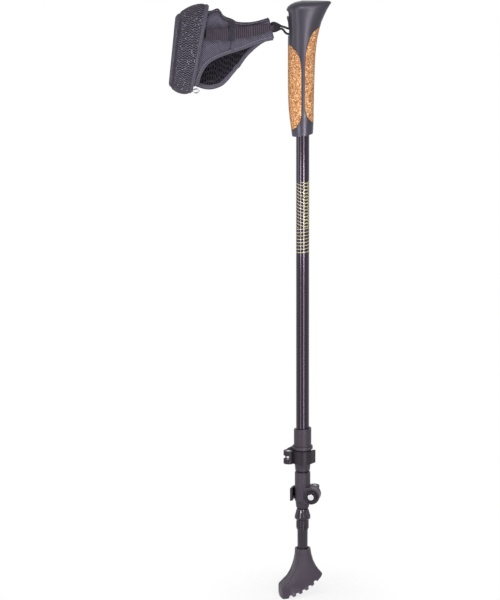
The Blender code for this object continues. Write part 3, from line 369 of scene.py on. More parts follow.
class Surface(Wiring):
    """Node tree of one material, around its shader."""

    def __init__(self, name: str) -> None:
        """Make the material.

        Args:
            name: Name of the material.
        """
        self.material = bpy.data.materials.new(name)
        self.material.use_nodes = True
        super().__init__(self.material.node_tree)
        self.shader = self.tree.nodes["Principled BSDF"]
        self.normal: Socket | None = None

    def shade(self, **values: object) -> None:
        """Set sockets of the shader, with underscores for spaces in their names.

        Args:
            values: Socket names and what they take.
        """
        for key, value in values.items():
            socket = self.shader.inputs[key.replace("_", " ")]
            if isinstance(value, tuple) and len(value) == 3:
                value = (*value, 1.0)
            self.feed(socket, value)

    def bump(self, height: Socket, depth: float) -> None:
        """Raise the surface, on top of what already raises it.

        Args:
            height: Value from 0 to 1.
            depth: Height of 1 in metres.
        """
        node = self.add("ShaderNodeBump")
        node.inputs["Distance"].default_value = depth
        self.feed(node.inputs["Height"], height)
        if self.normal is not None:
            self.feed(node.inputs["Normal"], self.normal)
        self.normal = node.outputs[0]
        self.feed(self.shader.inputs["Normal"], self.normal)


def toned(colour: Colour, factor: float) -> Colour:
    """Colour made lighter or darker by a factor."""
    return colour[0] * factor, colour[1] * factor, colour[2] * factor


@dataclass(frozen=True)
class Finish:
    """What every finish has: a name, a colour and how rough it is."""

    name: str
    colour: Colour
    roughness: float

    made: ClassVar[dict[str, bpy.types.Material]] = {}

    def material(self) -> bpy.types.Material:
        """Make the material, or take the one that is already made.

        Returns:
            The material.
        """
        if self.name not in Finish.made:
            surface = Surface("finish_" + self.name)
            surface.shade(Roughness=self.roughness)
            self.wire(surface)
            Finish.made[self.name] = surface.material
        return Finish.made[self.name]

    def wire(self, surface: Surface) -> None:
        """Wire the pattern of the finish.

        Args:
            surface: Material that takes it.
        """
        raise NotImplementedError


@dataclass(frozen=True)
class Moulded(Finish):
    """Moulded rubber or plastic: fine grain, faint clouds and lighter edges, which are partly wear and
    partly painted highlight.
    """

    grain_size: float = 0.0005
    grain_depth: float = 0.00004
    wear_and_highlight: float = 0.5
    shine: float = 0.4
    shine_tint: Colour = (0.97, 0.88, 1.0)
    grains_in_cloud: float = 24.0
    cloud_tones: tuple[float, float] = (0.82, 1.16)
    wear_and_highlight_tone: float = 2.6
    wear_and_highlight_corners: tuple[float, float] = (0.53, 0.62)
    roughness_spread: float = 0.18

    def wire(self, surface: Surface) -> None:
        """Wire the grain, the clouds and the lighter edges, part wear and part painted highlight.

        Args:
            surface: Material that takes them.
        """
        place = surface.place(Place.OBJECT)
        cloud = surface.grain(place, self.grain_size * self.grains_in_cloud, 3.0)
        body = surface.mixed(cloud, *(toned(self.colour, tone) for tone in self.cloud_tones))
        # convex edges are painted lighter: partly wear, partly painted highlight along the edges
        corner = surface.add("ShaderNodeNewGeometry").outputs["Pointiness"]
        worn_and_lit = surface.sums("MULTIPLY", surface.between(corner, *self.wear_and_highlight_corners), self.wear_and_highlight)
        surface.shade(Base_Color=surface.mixed(worn_and_lit, body, toned(self.colour, self.wear_and_highlight_tone)),
                      Specular_IOR_Level=self.shine, Specular_Tint=self.shine_tint)
        speck = surface.grain(place, self.grain_size, 3.0)
        above = surface.sums("SUBTRACT", speck, 0.5)
        surface.shade(Roughness=surface.sums("MULTIPLY_ADD", above, self.roughness_spread, self.roughness))
        surface.bump(speck, self.grain_depth)


@dataclass(frozen=True)
class Cork(Finish):
    """Pressed cork: granules of many tans with dark flecks and small pits between them."""

    granule: float = 0.0011
    fleck: float = 0.0007
    bark_brown: Colour = srgb(104, 54, 26)
    nut_brown: Colour = srgb(140, 82, 42)
    tan: Colour = srgb(180, 130, 81)
    straw: Colour = srgb(224, 186, 134)
    dark_fleck: Colour = srgb(112, 58, 26)
    dark_pick: tuple[float, float] = (0.76, 0.86)
    dark_strength: float = 0.85
    pale_fleck: Colour = srgb(246, 219, 172)
    pale_pick: tuple[float, float] = (0.86, 0.95)
    pale_strength: float = 0.6
    seam_brown: Colour = srgb(140, 88, 48)
    seam_share: float = 0.10
    seam_strength: float = 0.35
    seam_depth: float = 0.00010
    pit_depth: float = 0.00008

    def wire(self, surface: Surface) -> None:
        """Wire the granules, the flecks and the pits.

        Args:
            surface: Material that takes them.
        """
        place = surface.place(Place.OBJECT)
        granules = surface.cells(place, self.granule)
        pick = surface.parts(granules.outputs["Color"])[0]
        body = surface.ramp(pick, (
            (0.00, self.bark_brown), (0.18, self.nut_brown), (0.45, self.colour), (0.72, self.tan),
            (1.00, self.straw),
        ))
        flecks = surface.parts(surface.cells(place, self.fleck).outputs["Color"])
        dark = surface.sums("MULTIPLY", surface.between(flecks[1], *self.dark_pick), self.dark_strength)
        body = surface.mixed(dark, body, self.dark_fleck)
        pale = surface.sums("MULTIPLY", surface.between(flecks[2], *self.pale_pick), self.pale_strength)
        body = surface.mixed(pale, body, self.pale_fleck)
        gap = surface.cells(place, self.granule, 1.0, "DISTANCE_TO_EDGE").outputs["Distance"]
        inside = surface.between(gap, 0.0, self.seam_share)
        seam = surface.sums("MULTIPLY_ADD", inside, -self.seam_strength, self.seam_strength)
        surface.shade(Base_Color=surface.mixed(seam, body, self.seam_brown))
        surface.bump(inside, self.seam_depth)
        surface.bump(surface.grain(place, self.fleck / 2, 3.0), self.pit_depth)


@dataclass(frozen=True)
class GlossTube(Finish):
    """Lacquered tube, with a printed pattern of rings and crossing lines where it has one."""

    printed: bool = False
    print_colour: Colour = srgb(142, 139, 98)
    hatch_top: float = -0.1055
    hatch_foot: float = -0.1550
    rings_foot: float = -0.1832
    pitch: float = 0.0036
    line_share: float = 0.25
    starts: int = 3
    cross_from: float = 0.001
    shine: float = 0.46
    shine_tint: Colour = (0.94, 0.80, 1.0)
    cloud_size: float = 0.004
    cloud_stretch: Point = (1.0, 1.0, 0.08)
    cloud_tones: tuple[float, float] = (0.8, 1.25)
    roughness_spread: float = 0.06
    peel_size: float = 0.0008
    peel_depth: float = 0.000002

    def wire(self, surface: Surface) -> None:
        """Wire the lacquer and the print.

        Args:
            surface: Material that takes them.
        """
        place = surface.place(Place.OBJECT)
        cloud = surface.grain(surface.stretched(place, self.cloud_stretch), self.cloud_size, 3.0)
        body = surface.mixed(cloud, *(toned(self.colour, tone) for tone in self.cloud_tones))
        if self.printed:
            body = surface.mixed(self.print_mask(surface, place), body, self.print_colour)
        surface.shade(Base_Color=body, Specular_IOR_Level=self.shine, Specular_Tint=self.shine_tint)
        smoothest = self.roughness - self.roughness_spread / 2
        surface.shade(Roughness=surface.sums("MULTIPLY_ADD", cloud, self.roughness_spread, smoothest))
        surface.bump(surface.grain(place, self.peel_size, 2.0), self.peel_depth)

    def print_mask(self, surface: Surface, place: Socket) -> Socket:
        """Where the printed lines are.

        Args:
            surface: Material that takes the mask.
            place: Coordinates in metres.

        Returns:
            1 on a line and 0 beside it.
        """
        x, y, z = surface.parts(place)
        around = surface.sums("DIVIDE", surface.sums("ARCTAN2", y, x), 2 * math.pi)

        def lines(turns: float) -> Socket:
            """Parallel lines round the tube.

            Args:
                turns: How many pitches they climb in one turn.

            Returns:
                1 on a line and 0 beside it.
            """
            phase = surface.sums("MULTIPLY_ADD", around, turns, surface.sums("DIVIDE", z, self.pitch))
            beside = surface.sums("ABSOLUTE", surface.sums("SUBTRACT", surface.sums("FRACT", phase), 0.5))
            edge = self.line_share / 2
            return surface.sums("SUBTRACT", 1.0, surface.between(beside, edge * 0.8, edge * 1.2))

        level = surface.sums("SUBTRACT", z, surface.sums("MULTIPLY", around, self.pitch))

        def band(foot: float, top: float) -> Socket:
            """Stretch between two heights, with ends that climb as the rings do."""
            above = surface.sums("GREATER_THAN", level, foot)
            return surface.sums("MULTIPLY", above, surface.sums("LESS_THAN", level, top))

        hatch = band(self.hatch_foot, self.hatch_top)
        falling = surface.sums("MULTIPLY", lines(self.starts), hatch)
        right = surface.sums("GREATER_THAN", x, self.cross_from)
        rising = surface.sums("MULTIPLY", surface.sums("MULTIPLY", lines(-self.starts), hatch), right)
        rings = surface.sums("MULTIPLY", lines(-1.0), band(self.rings_foot, self.hatch_foot))
        return surface.sums("MAXIMUM", rings, surface.sums("MAXIMUM", falling, rising))


@dataclass(frozen=True)
class Metal(Finish):
    """Turned or ground metal with fine tool marks."""

    mark_size: float = 0.0012
    marks_across: float = 6.0
    mark_tone: float = 0.85
    mark_depth: float = 0.00001
    roughness_spread: float = 0.2

    def wire(self, surface: Surface) -> None:
        """Wire the metal and its tool marks.

        Args:
            surface: Material that takes them.
        """
        place = surface.place(Place.OBJECT)
        marks = surface.grain(surface.stretched(place, (1.0, 1.0, self.marks_across)), self.mark_size, 4.0)
        body = surface.mixed(marks, toned(self.colour, self.mark_tone), self.colour)
        smoothest = self.roughness - self.roughness_spread / 2
        rough = surface.sums("MULTIPLY_ADD", marks, self.roughness_spread, smoothest)
        surface.shade(Base_Color=body, Metallic=1.0, Roughness=rough)
        surface.bump(marks, self.mark_depth)


@dataclass(frozen=True)
class Fabric(Finish):
    """Woven or knitted cloth whose pattern is measured along the cloth, in metres."""

    # colour of the weave's crests, painted lighter as highlight
    light: Colour = srgb(110, 106, 120)
    relief: float = 0.0002
    sheen: float = 0.08
    sheen_roughness: float = 0.5
    shine: float = 0.10
    cloud_size: float = 0.006
    unevenness: float = 0.35
    fuzz_size: float = 0.00025
    fuzz_depth: float = 0.00004

    def wire(self, surface: Surface) -> None:
        """Wire the weave, with painted shade in its hollows and painted highlight on its crests, and the
        cloth's faint unevenness.

        Args:
            surface: Material that takes them.
        """
        place = surface.place(Place.CLOTH)
        cloud = surface.grain(place, self.cloud_size, 3.0)
        height = self.weave(surface, place)
        tone = surface.sums("MULTIPLY_ADD", surface.sums("SUBTRACT", cloud, 0.5), self.unevenness, height)
        # the weave's hollows take the dark colour and its crests the light one: painted shade and painted
        # highlight
        body = surface.ramp(tone, ((0.0, self.colour), (1.0, self.light)))
        surface.shade(Base_Color=self.glinted(surface, place, body), Sheen_Weight=self.sheen,
                      Sheen_Roughness=self.sheen_roughness, Specular_IOR_Level=self.shine)
        surface.bump(surface.grain(place, self.fuzz_size, 2.0), self.fuzz_depth)
        surface.bump(height, self.relief)

    def weave(self, surface: Surface, place: Socket) -> Socket:
        """Height pattern of the cloth.

        Args:
            surface: Material that takes it.
            place: Coordinates along the cloth.

        Returns:
            The height from 0 to 1, which the relief makes metres and which also sets the painted shade and
            highlight of the cloth's colour.
        """
        raise NotImplementedError

    def glinted(self, surface: Surface, place: Socket, body: Socket) -> Socket:
        """Add painted glints, none unless a cloth has them."""
        return body


@dataclass(frozen=True)
class WavyMesh(Fabric):
    """Spacer mesh of the wrist band: wavy rows like fish scales, with small painted glints."""

    relief: float = 0.00035
    row_pitch: float = 0.0026
    wave_length: float = 0.0042
    wave_swing: float = 0.55
    stitch_size: float = 0.0011
    stitch_stretch: Point = (1.0, 1.6, 1.0)
    looseness: float = 0.3
    hole_edge: tuple[float, float] = (0.15, 0.55)
    hole_height: float = 0.4
    glint_size: float = 0.0016
    glint_pick: tuple[float, float] = (0.72, 0.76)
    glint_edge: tuple[float, float] = (0.20, 0.34)
    glint_strength: float = 0.55
    glint_colour: Colour = srgb(188, 184, 196)

    def weave(self, surface: Surface, place: Socket) -> Socket:
        """Wavy rows over fine knitting.

        Args:
            surface: Material that takes the pattern.
            place: Coordinates along the cloth.

        Returns:
            The height from 0 to 1.
        """
        along, across, _ = surface.parts(place)
        swing = surface.sums("MULTIPLY", surface.wave(across, self.wave_length), self.wave_swing)
        rows = surface.wave(along, self.row_pitch, swing)
        stretched = surface.stretched(place, self.stitch_stretch)
        knit = surface.cells(stretched, self.stitch_size, self.looseness).outputs["Distance"]
        rims = surface.between(knit, *self.hole_edge)
        height = surface.sums("MULTIPLY_ADD", rims, 1.0 - self.hole_height, self.hole_height)
        return surface.sums("MULTIPLY", rows, height)

    def glinted(self, surface: Surface, place: Socket, body: Socket) -> Socket:
        """Painted glints here and there, as small bright specks.

        Args:
            surface: Material that takes them.
            place: Coordinates along the cloth.
            body: Colour of the cloth.

        Returns:
            The colour with painted glints.
        """
        # small bright specks that stand for painted glints on the mesh
        dots = surface.cells(place, self.glint_size)
        chosen = surface.between(surface.parts(dots.outputs["Color"])[0], *self.glint_pick)
        near = surface.sums("SUBTRACT", 1.0, surface.between(dots.outputs["Distance"], *self.glint_edge))
        strength = surface.sums("MULTIPLY", surface.sums("MULTIPLY", chosen, near), self.glint_strength)
        return surface.mixed(strength, body, self.glint_colour)


@dataclass(frozen=True)
class HoneycombMesh(Fabric):
    """Dark lining mesh with rows of long holes."""

    relief: float = 0.0004
    hole: float = 0.0036
    hole_stretch: Point = (1.5, 0.62, 1.0)
    looseness: float = 0.35
    rim_edge: tuple[float, float] = (0.04, 0.26)

    def weave(self, surface: Surface, place: Socket) -> Socket:
        """Rims between long holes.

        Args:
            surface: Material that takes the pattern.
            place: Coordinates along the cloth.

        Returns:
            The height from 0 to 1.
        """
        stretched = surface.stretched(place, self.hole_stretch)
        rim = surface.cells(stretched, self.hole, self.looseness, "DISTANCE_TO_EDGE").outputs["Distance"]
        return surface.sums("SUBTRACT", 1.0, surface.between(rim, *self.rim_edge))


@dataclass(frozen=True)
class Twill(Fabric):
    """Nylon cloth with fine diagonal ribs."""

    relief: float = 0.00022
    rib: float = 0.0011

    def weave(self, surface: Surface, place: Socket) -> Socket:
        """Diagonal ribs broken up by the crossing yarn.

        Args:
            surface: Material that takes the pattern.
            place: Coordinates along the cloth.

        Returns:
            The height from 0 to 1.
        """
        along, across, _ = surface.parts(place)
        ribs = surface.wave(surface.sums("ADD", along, across), self.rib)
        yarn = surface.wave(surface.sums("SUBTRACT", along, across), self.rib * 0.8)
        return surface.sums("MULTIPLY", ribs, surface.sums("MULTIPLY_ADD", yarn, 0.5, 0.5))


@dataclass(frozen=True)
class Webbing(Fabric):
    """Ribbed webbing: ribs across it, of yarn that runs along it."""

    relief: float = 0.00016
    rib: float = 0.0015
    yarn: float = 0.0006

    def weave(self, surface: Surface, place: Socket) -> Socket:
        """Ribs across the webbing and fine yarn along it.

        Args:
            surface: Material that takes the pattern.
            place: Coordinates along the cloth.

        Returns:
            The height from 0 to 1.
        """
        along, across, _ = surface.parts(place)
        ribs = surface.wave(along, self.rib)
        yarn = surface.wave(across, self.yarn, ribs)
        return surface.sums("MULTIPLY_ADD", yarn, 0.3, surface.sums("MULTIPLY", ribs, 0.7))


@dataclass(frozen=True)
class Tape(Fabric):
    """Smooth binding tape with fine cross ribs."""

    relief: float = 0.00006
    rib: float = 0.0007
    edge_pitch: float = 0.0021

    def weave(self, surface: Surface, place: Socket) -> Socket:
        """Fine ribs across the tape.

        Args:
            surface: Material that takes the pattern.
            place: Coordinates along the cloth.

        Returns:
            The height from 0 to 1.
        """
        along, across, _ = surface.parts(place)
        ribs = surface.wave(along, self.rib)
        edge = surface.wave(across, self.edge_pitch)
        return surface.sums("MULTIPLY_ADD", edge, 0.3, surface.sums("MULTIPLY", ribs, 0.7))


@dataclass(frozen=True)
class LoopTape(Fabric):
    """Looped half of a hook and loop fastener."""

    relief: float = 0.0005
    loop_size: float = 0.0008

    def weave(self, surface: Surface, place: Socket) -> Socket:
        """A tangle of small loops."""
        return surface.grain(place, self.loop_size, 4.0)


class Finishes(Enum):
    """Every finish of the pole."""

    HEAD_RUBBER = Moulded("head_rubber", srgb(33, 32, 41), 0.35,
                          grain_size=0.0006, grain_depth=0.00001, wear_and_highlight=0.2, shine=0.46)
    CORK = Cork("pressed_cork", srgb(170, 112, 64), 0.78)
    TRIGGER_NYLON = Moulded("trigger_nylon", srgb(24, 22, 26), 0.32,
                            grain_size=0.0005, grain_depth=0.00003, wear_and_highlight=0.4, shine=0.3)
    CLAMP_NYLON = Moulded("clamp_nylon", srgb(35, 29, 37), 0.46,
                          grain_size=0.0006, grain_depth=0.000008, wear_and_highlight=0.5, shine=0.4)
    LEVER_NYLON = Moulded("lever_nylon", srgb(14, 10, 15), 0.40,
                          grain_size=0.0006, grain_depth=0.000008, wear_and_highlight=0.6, shine=0.3)
    FERRULE_NYLON = Moulded("ferrule_nylon", srgb(26, 22, 30), 0.10,
                            grain_size=0.0008, grain_depth=0.000002, wear_and_highlight=0.15, shine=0.5)
    # the paw's strong edge lightening is painted highlight along its edges as well as wear
    PAW_RUBBER = Moulded("paw_rubber", srgb(52, 46, 55), 0.42,
                         grain_size=0.0007, grain_depth=0.00003, wear_and_highlight=0.9, shine=0.3)
    PLAIN_TUBE = GlossTube("plain_tube", srgb(14, 8, 16), 0.13)
    PRINTED_TUBE = GlossTube("printed_tube", srgb(14, 8, 16), 0.13, printed=True)
    RING_STEEL = Metal("ring_steel", (0.30, 0.30, 0.31), 0.30)
    STEEL = Metal("bright_steel", (0.78, 0.78, 0.80), 0.26)
    CARBIDE = Metal("ground_carbide", (0.34, 0.34, 0.36), 0.38)
    BAND_MESH = WavyMesh("band_mesh", srgb(10, 8, 13), 0.86, light=srgb(89, 84, 97))
    LINING_MESH = HoneycombMesh("lining_mesh", srgb(1, 1, 2), 0.90, light=srgb(41, 37, 47))
    TWILL = Twill("strap_twill", srgb(16, 14, 21), 0.82, light=srgb(112, 106, 123), rib=0.0019)
    WEBBING = Webbing("ribbed_webbing", srgb(1, 1, 2), 0.80, light=srgb(74, 66, 78), rib=0.0023)
    BINDING = Tape("binding_tape", srgb(50, 47, 56), 0.74, light=srgb(86, 82, 94))
    DARK_BINDING = Tape("dark_binding_tape", srgb(24, 21, 28), 0.78, light=srgb(60, 56, 68))
    LOOP_TAPE = LoopTape("loop_tape", srgb(22, 19, 25), 0.92, light=srgb(66, 62, 72))
    # dark twill of the strip that is painted shade across the webbing
    SHADE_STRIP_TWILL = Twill("shade_strip_twill", srgb(10, 8, 13), 0.84, light=srgb(72, 68, 80), rib=0.0019)
    SHEATH = Twill("cord_sheath", srgb(14, 12, 17), 0.80, light=srgb(52, 48, 58), rib=0.0009)
    CORD = Tape("braided_cord", srgb(10, 8, 12), 0.70, light=srgb(46, 42, 50), rib=0.0012)
    THREAD = Tape("sewing_thread", srgb(92, 88, 100), 0.60, light=srgb(140, 136, 148), rib=0.0004)


# Meshes


def mesh_piece(name: str, points: Sequence[Vector], faces: Sequence[Sequence[int]],
               cloth: Sequence[tuple[float, float]] | None = None) -> Thing:
    """Make a smooth mesh object.

    Args:
        name: Name of the piece.
        points: Its points.
        faces: Its faces, as places in the list of points.
        cloth: Place of each point along and across the cloth, in metres.

    Returns:
        The piece.
    """
    mesh = bpy.data.meshes.new(name)
    mesh.from_pydata([tuple(p) for p in points], [], [tuple(f) for f in faces])
    if cloth is not None:
        layer = mesh.uv_layers.new(name="UVMap")
        for loop in mesh.loops:
            layer.data[loop.index].uv = cloth[loop.vertex_index]
    bm = bmesh.new()
    bm.from_mesh(mesh)
    bmesh.ops.recalc_face_normals(bm, faces=bm.faces)
    bm.to_mesh(mesh)
    bm.free()
    mesh.shade_smooth()
    piece = bpy.data.objects.new(name, mesh)
    bpy.context.scene.collection.objects.link(piece)
    LOG.info("%s: %d faces", name, len(mesh.polygons))
    return piece


def dress(piece: Thing, finish: Finishes) -> Thing:
    """Give a piece its finish.

    Args:
        piece: The piece, or a CAD node.
        finish: The finish.

    Returns:
        The piece.
    """
    material = finish.value.material()
    if not piece.data.materials:
        piece.data.materials.append(material)
    for slot in piece.material_slots:
        slot.material = material
    if piece.name in frame["nodes"]:
        piece.modifiers.new("smooth_facets", "NODES").node_group = smoothing()
        LOG.info("%s: dressed with %s", piece.name, finish.value.name)
    return piece


@cache
def smoothing(degrees: float = 30.0, reach: float = 0.00001) -> bpy.types.NodeTree:
    """Node group that joins a CAD node's facets and keeps only its real edges crisp.

    Args:
        degrees: Faces that meet at more than this angle keep their edge.
        reach: Corners nearer than this are joined.

    Returns:
        The group, for a Geometry Nodes modifier.
    """
    tree = bpy.data.node_groups.new("smooth_facets", "GeometryNodeTree")
    for way in ("INPUT", "OUTPUT"):
        tree.interface.new_socket("Geometry", in_out=way, socket_type="NodeSocketGeometry")
    inside, outside, joined, angle, sharp, normals = (tree.nodes.new(kind) for kind in (
        "NodeGroupInput", "NodeGroupOutput", "GeometryNodeMergeByDistance", "GeometryNodeInputMeshEdgeAngle",
        "FunctionNodeCompare", "GeometryNodeSetMeshNormal",
    ))
    joined.inputs["Distance"].default_value = reach
    sharp.operation = "GREATER_THAN"
    sharp.inputs["B"].default_value = math.radians(degrees)
    normals.inputs["Remove Custom"].default_value = True
    for start, end in (
        (inside.outputs[0], joined.inputs[0]), (joined.outputs[0], normals.inputs[0]),
        (angle.outputs[0], sharp.inputs["A"]), (sharp.outputs[0], normals.inputs["Edge Sharpness"]),
        (normals.outputs[0], outside.inputs[0]),
    ):
        tree.links.new(start, end)
    return tree


def lengths(points: Sequence[Vector]) -> list[float]:
    """Measure along a line of points.

    Args:
        points: The line.

    Returns:
        Distance of each point from the first.
    """
    result = [0.0]
    for here, there in zip(points, points[1:]):
        result.append(result[-1] + (there - here).length)
    return result


def evenly(start: float, end: float, steps: int) -> list[float]:
    """Evenly spaced values from start to end, both of them included."""
    return [start + (end - start) * i / steps for i in range(steps + 1)]


def crowns(steps: int, margin: float, flatness: float) -> list[float]:
    """Heights of a strip's rounded face from one edge to the other.

    Args:
        steps: Number of steps across it.
        margin: How many steps past its edges the height would reach zero.
        flatness: Less for a flatter middle.

    Returns:
        The heights, 1 at the middle.
    """
    return [math.sin(math.pi * (k + margin) / (steps + 2 * margin)) ** flatness for k in range(steps + 1)]


def tube_faces(rings: int, sides: int, closed: bool = False, first: int = 0) -> list[tuple[int, ...]]:
    """Faces of a tube whose points are listed ring by ring.

    Args:
        rings: Number of rings.
        sides: Points in each ring.
        closed: Whether the last ring meets the first. If not, both ends are closed by a face.
        first: Place of its first point in the list.

    Returns:
        The faces.
    """
    faces = []
    for i in range(rings if closed else rings - 1):
        here, there = first + i * sides, first + (i + 1) % rings * sides
        for k in range(sides):
            m = (k + 1) % sides
            faces.append((here + k, here + m, there + m, there + k))
    if not closed:
        last = first + (rings - 1) * sides
        faces += [tuple(range(first, first + sides)), tuple(range(last, last + sides))]
    return faces


def slab(name: str, inner: Grid, outer: Grid, closed: bool = False) -> Thing:
    """Closed sheet between two grids of points.

    Args:
        name: Name of the piece.
        inner: Points of one face, as columns.
        outer: Points of the other face.
        closed: Whether the last column meets the first.

    Returns:
        The piece.
    """
    columns, rows = len(inner), len(inner[0])
    points, cloth = [], []
    for grid in (inner, outer):
        along = lengths([column[rows // 2] for column in grid])
        for column, u in zip(grid, along):
            points += column
            cloth += [(u, v) for v in lengths(column)]
    size = columns * rows

    def at(face: int, i: int, j: int) -> int:
        """Place of a point in the list."""
        return face * size + (i % columns) * rows + j

    faces = []
    for i in range(columns if closed else columns - 1):
        for j in range(rows - 1):
            for face in (0, 1):
                faces.append((at(face, i, j), at(face, i + 1, j),
                              at(face, i + 1, j + 1), at(face, i, j + 1)))
        for j in (0, rows - 1):
            faces.append((at(0, i, j), at(0, i + 1, j), at(1, i + 1, j), at(1, i, j)))
    if not closed:
        for i in (0, columns - 1):
            for j in range(rows - 1):
                faces.append((at(0, i, j), at(0, i, j + 1), at(1, i, j + 1), at(1, i, j)))
    return mesh_piece(name, points, faces, cloth)


def swept(name: str, path: Sequence[Vector], outs: Sequence[Vector], outline: Outline,
          closed: bool = False) -> Thing:
    """Outline swept along a path.

    Args:
        name: Name of the piece.
        path: Points of the path.
        outs: At each point, the direction that the outline's second number runs along.
        outline: Points of the outline, sideways and outwards.
        closed: Whether the path is a loop.

    Returns:
        The piece.
    """
    count = len(path)
    points, cloth = [], []
    along = lengths(path)
    girth = lengths([Vector((a, b, 0.0)) for a, b in outline])
    for i, (centre, out) in enumerate(zip(path, outs)):
        before = path[i - 1] if closed or i else path[i]
        after = path[(i + 1) % count] if closed or i + 1 < count else path[i]
        side = (after - before).cross(out).normalized()
        up = side.cross(after - before).normalized()
        for (a, b), v in zip(outline, girth):
            points.append(centre + side * a + up * b)
            cloth.append((along[i], v))
    return mesh_piece(name, points, tube_faces(count, len(outline), closed), cloth)


def round_outline(half_width: float, half_height: float, corners: int, squareness: float = 2.0) -> Outline:
    """Outline of a flattened tube.

    Args:
        half_width: Half its width.
        half_height: Half its height.
        corners: How many points it has.
        squareness: 2 for an ellipse, more for a squarer form.

    Returns:
        The points.
    """
    result = []
    for i in range(corners):
        angle = 2 * math.pi * i / corners
        a, b = math.cos(angle), math.sin(angle)
        result.append((half_width * math.copysign(abs(a) ** (2 / squareness), a),
                       half_height * math.copysign(abs(b) ** (2 / squareness), b)))
    return result


def smooth_value(points: Curve, place: float) -> float:
    """Value at a place on a smooth curve.

    Args:
        points: Place and value of each point of the curve.
        place: Where it is read.

    Returns:
        The value.
    """
    if place <= points[0][0]:
        return points[0][1]
    if place >= points[-1][0]:
        return points[-1][1]
    index = max(i for i in range(len(points) - 1) if points[i][0] <= place)

    def slope(i: int) -> float:
        """Slope of the curve at its point number i."""
        before, after = points[max(i - 1, 0)], points[min(i + 1, len(points) - 1)]
        return (after[1] - before[1]) / (after[0] - before[0])

    (x0, y0), (x1, y1) = points[index], points[index + 1]
    width = x1 - x0
    t = (place - x0) / width
    return (y0 * (2 * t ** 3 - 3 * t ** 2 + 1) + slope(index) * width * (t ** 3 - 2 * t ** 2 + t)
            + y1 * (3 * t ** 2 - 2 * t ** 3) + slope(index + 1) * width * (t ** 3 - t ** 2))


def rounded_loop(points: Sequence[Point], between: int, closed: bool = True) -> list[Vector]:
    """Smooth curve through points.

    Args:
        points: Points on the curve.
        between: How many points each stretch gets.
        closed: Whether the curve is a loop.

    Returns:
        Points of the curve.
    """
    count = len(points)
    result = []
    for i in range(count if closed else count - 1):
        picks = [(i + k) % count if closed else min(max(i + k, 0), count - 1) for k in (-1, 0, 1, 2)]
        before, here, there, after = (Vector(points[p]) for p in picks)
        for step in range(between):
            t = step / between
            result.append(0.5 * (2 * here + (there - before) * t
                                 + (2 * before - 5 * here + 4 * there - after) * t ** 2
                                 + (3 * here - before - 3 * there + after) * t ** 3))
    if not closed:
        result.append(Vector(points[-1]))
    return result


@dataclass(frozen=True)
class ClothSettling:
    """Short cloth simulation that lets a piece swell and pucker between its sewn edges.

    It runs on a copy that is larger than life, where the solver is steady.
    """

    pressure: float
    growth: float
    most: float = 0.0007
    enlarged: float = 50.0
    frames: int = 18
    stiffness: float = 14.0
    bending: float = 0.6
    air_damping: float = 4.0
    mass: float = 0.3

    def settle(self, piece: Thing, held: Callable[[int], float]) -> None:
        """Run the simulation and keep its result.

        Args:
            piece: Piece with a plain mesh.
            held: How firmly the seam holds each point, from 0 to 1.
        """
        mesh = piece.data
        rest = [v.co.copy() for v in mesh.vertices]
        mesh.transform(Matrix.Scale(self.enlarged, 4))
        group = piece.vertex_groups.new(name="seams")
        for index in range(len(rest)):
            weight = held(index)
            if weight > 0.0:
                group.add([index], weight, "REPLACE")
        cloth = piece.modifiers.new("settle", "CLOTH")
        cloth.settings.vertex_group_mass = group.name
        cloth.settings.mass = self.mass
        cloth.settings.tension_stiffness = self.stiffness
        cloth.settings.compression_stiffness = self.stiffness
        cloth.settings.bending_stiffness = self.bending
        cloth.settings.air_damping = self.air_damping
        cloth.settings.shrink_min = -self.growth
        cloth.settings.use_pressure = self.pressure != 0.0
        cloth.settings.uniform_pressure_force = self.pressure
        cloth.settings.effector_weights.gravity = 0.0
        cloth.collision_settings.use_collision = False
        cloth.point_cache.frame_start, cloth.point_cache.frame_end = 1, self.frames
        scene = bpy.context.scene
        for number in range(1, self.frames + 1):
            scene.frame_set(number)
        settled = piece.evaluated_get(bpy.context.evaluated_depsgraph_get()).to_mesh()
        moved = [v.co / self.enlarged for v in settled.vertices]
        piece.modifiers.clear()
        piece.vertex_groups.clear()
        for vertex, start, end in zip(mesh.vertices, rest, moved):
            step = end - start
            length = step.length
            vertex.co = start + step * (min(1.0, self.most / length) if length > 0.0 else 0.0)
        scene.frame_set(1)
        mesh.update()


# Sub-assemblies


@dataclass
class Grip:
    """Rubber grip with two cork inlays, a release trigger and the pin that the cord loops round."""

    spring_centre: Point = (-0.00785, 0.0, 0.0)
    spring_radius: float = 0.0020
    spring_wire: float = 0.00027
    spring_turns: int = 5
    turn_steps: int = 24
    close_winding: float = 0.06
    pressed_share: float = 0.5

    def dress_nodes(self) -> None:
        """Dress the CAD nodes that stay."""
        for node, finish in (
            ("grip_core", Finishes.HEAD_RUBBER), ("front_cork", Finishes.CORK), ("rear_cork", Finishes.CORK),
            ("trigger_lever", Finishes.TRIGGER_NYLON), ("trigger_pin", Finishes.STEEL),
            ("catch_pin", Finishes.STEEL),
        ):
            dress(frame["nodes"][node], finish)

    def make_spring(self) -> None:
        """Coil that pushes the trigger shut, with its end turns wound close."""
        low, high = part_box("trigger_spring")
        foot, top = low.z + self.spring_wire, high.z - self.spring_wire
        path, outs = [], []
        for share in evenly(0.0, 1.0, self.turn_steps * self.spring_turns):
            angle = 2 * math.pi * self.spring_turns * share
            rise = foot + (top - foot) * (share - math.sin(2 * math.pi * share) * self.close_winding)
            out = Vector((math.cos(angle), math.sin(angle), 0.0))
            path.append(Vector((self.spring_centre[0], 0.0, rise)) + out * self.spring_radius)
            outs.append(out)
        wire = round_outline(self.spring_wire, self.spring_wire, 8)
        spring = dress(swept("trigger_spring_wire", path, outs, wire), Finishes.STEEL)
        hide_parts("trigger_spring")
        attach(spring, Body.UPPER.value)
        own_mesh(spring)
        LOG.info("trigger spring: %d turns", self.spring_turns)

    def build(self) -> None:
        """Dress the grip and make its spring."""
        self.dress_nodes()
        self.make_spring()
        LOG.info("grip dressed")


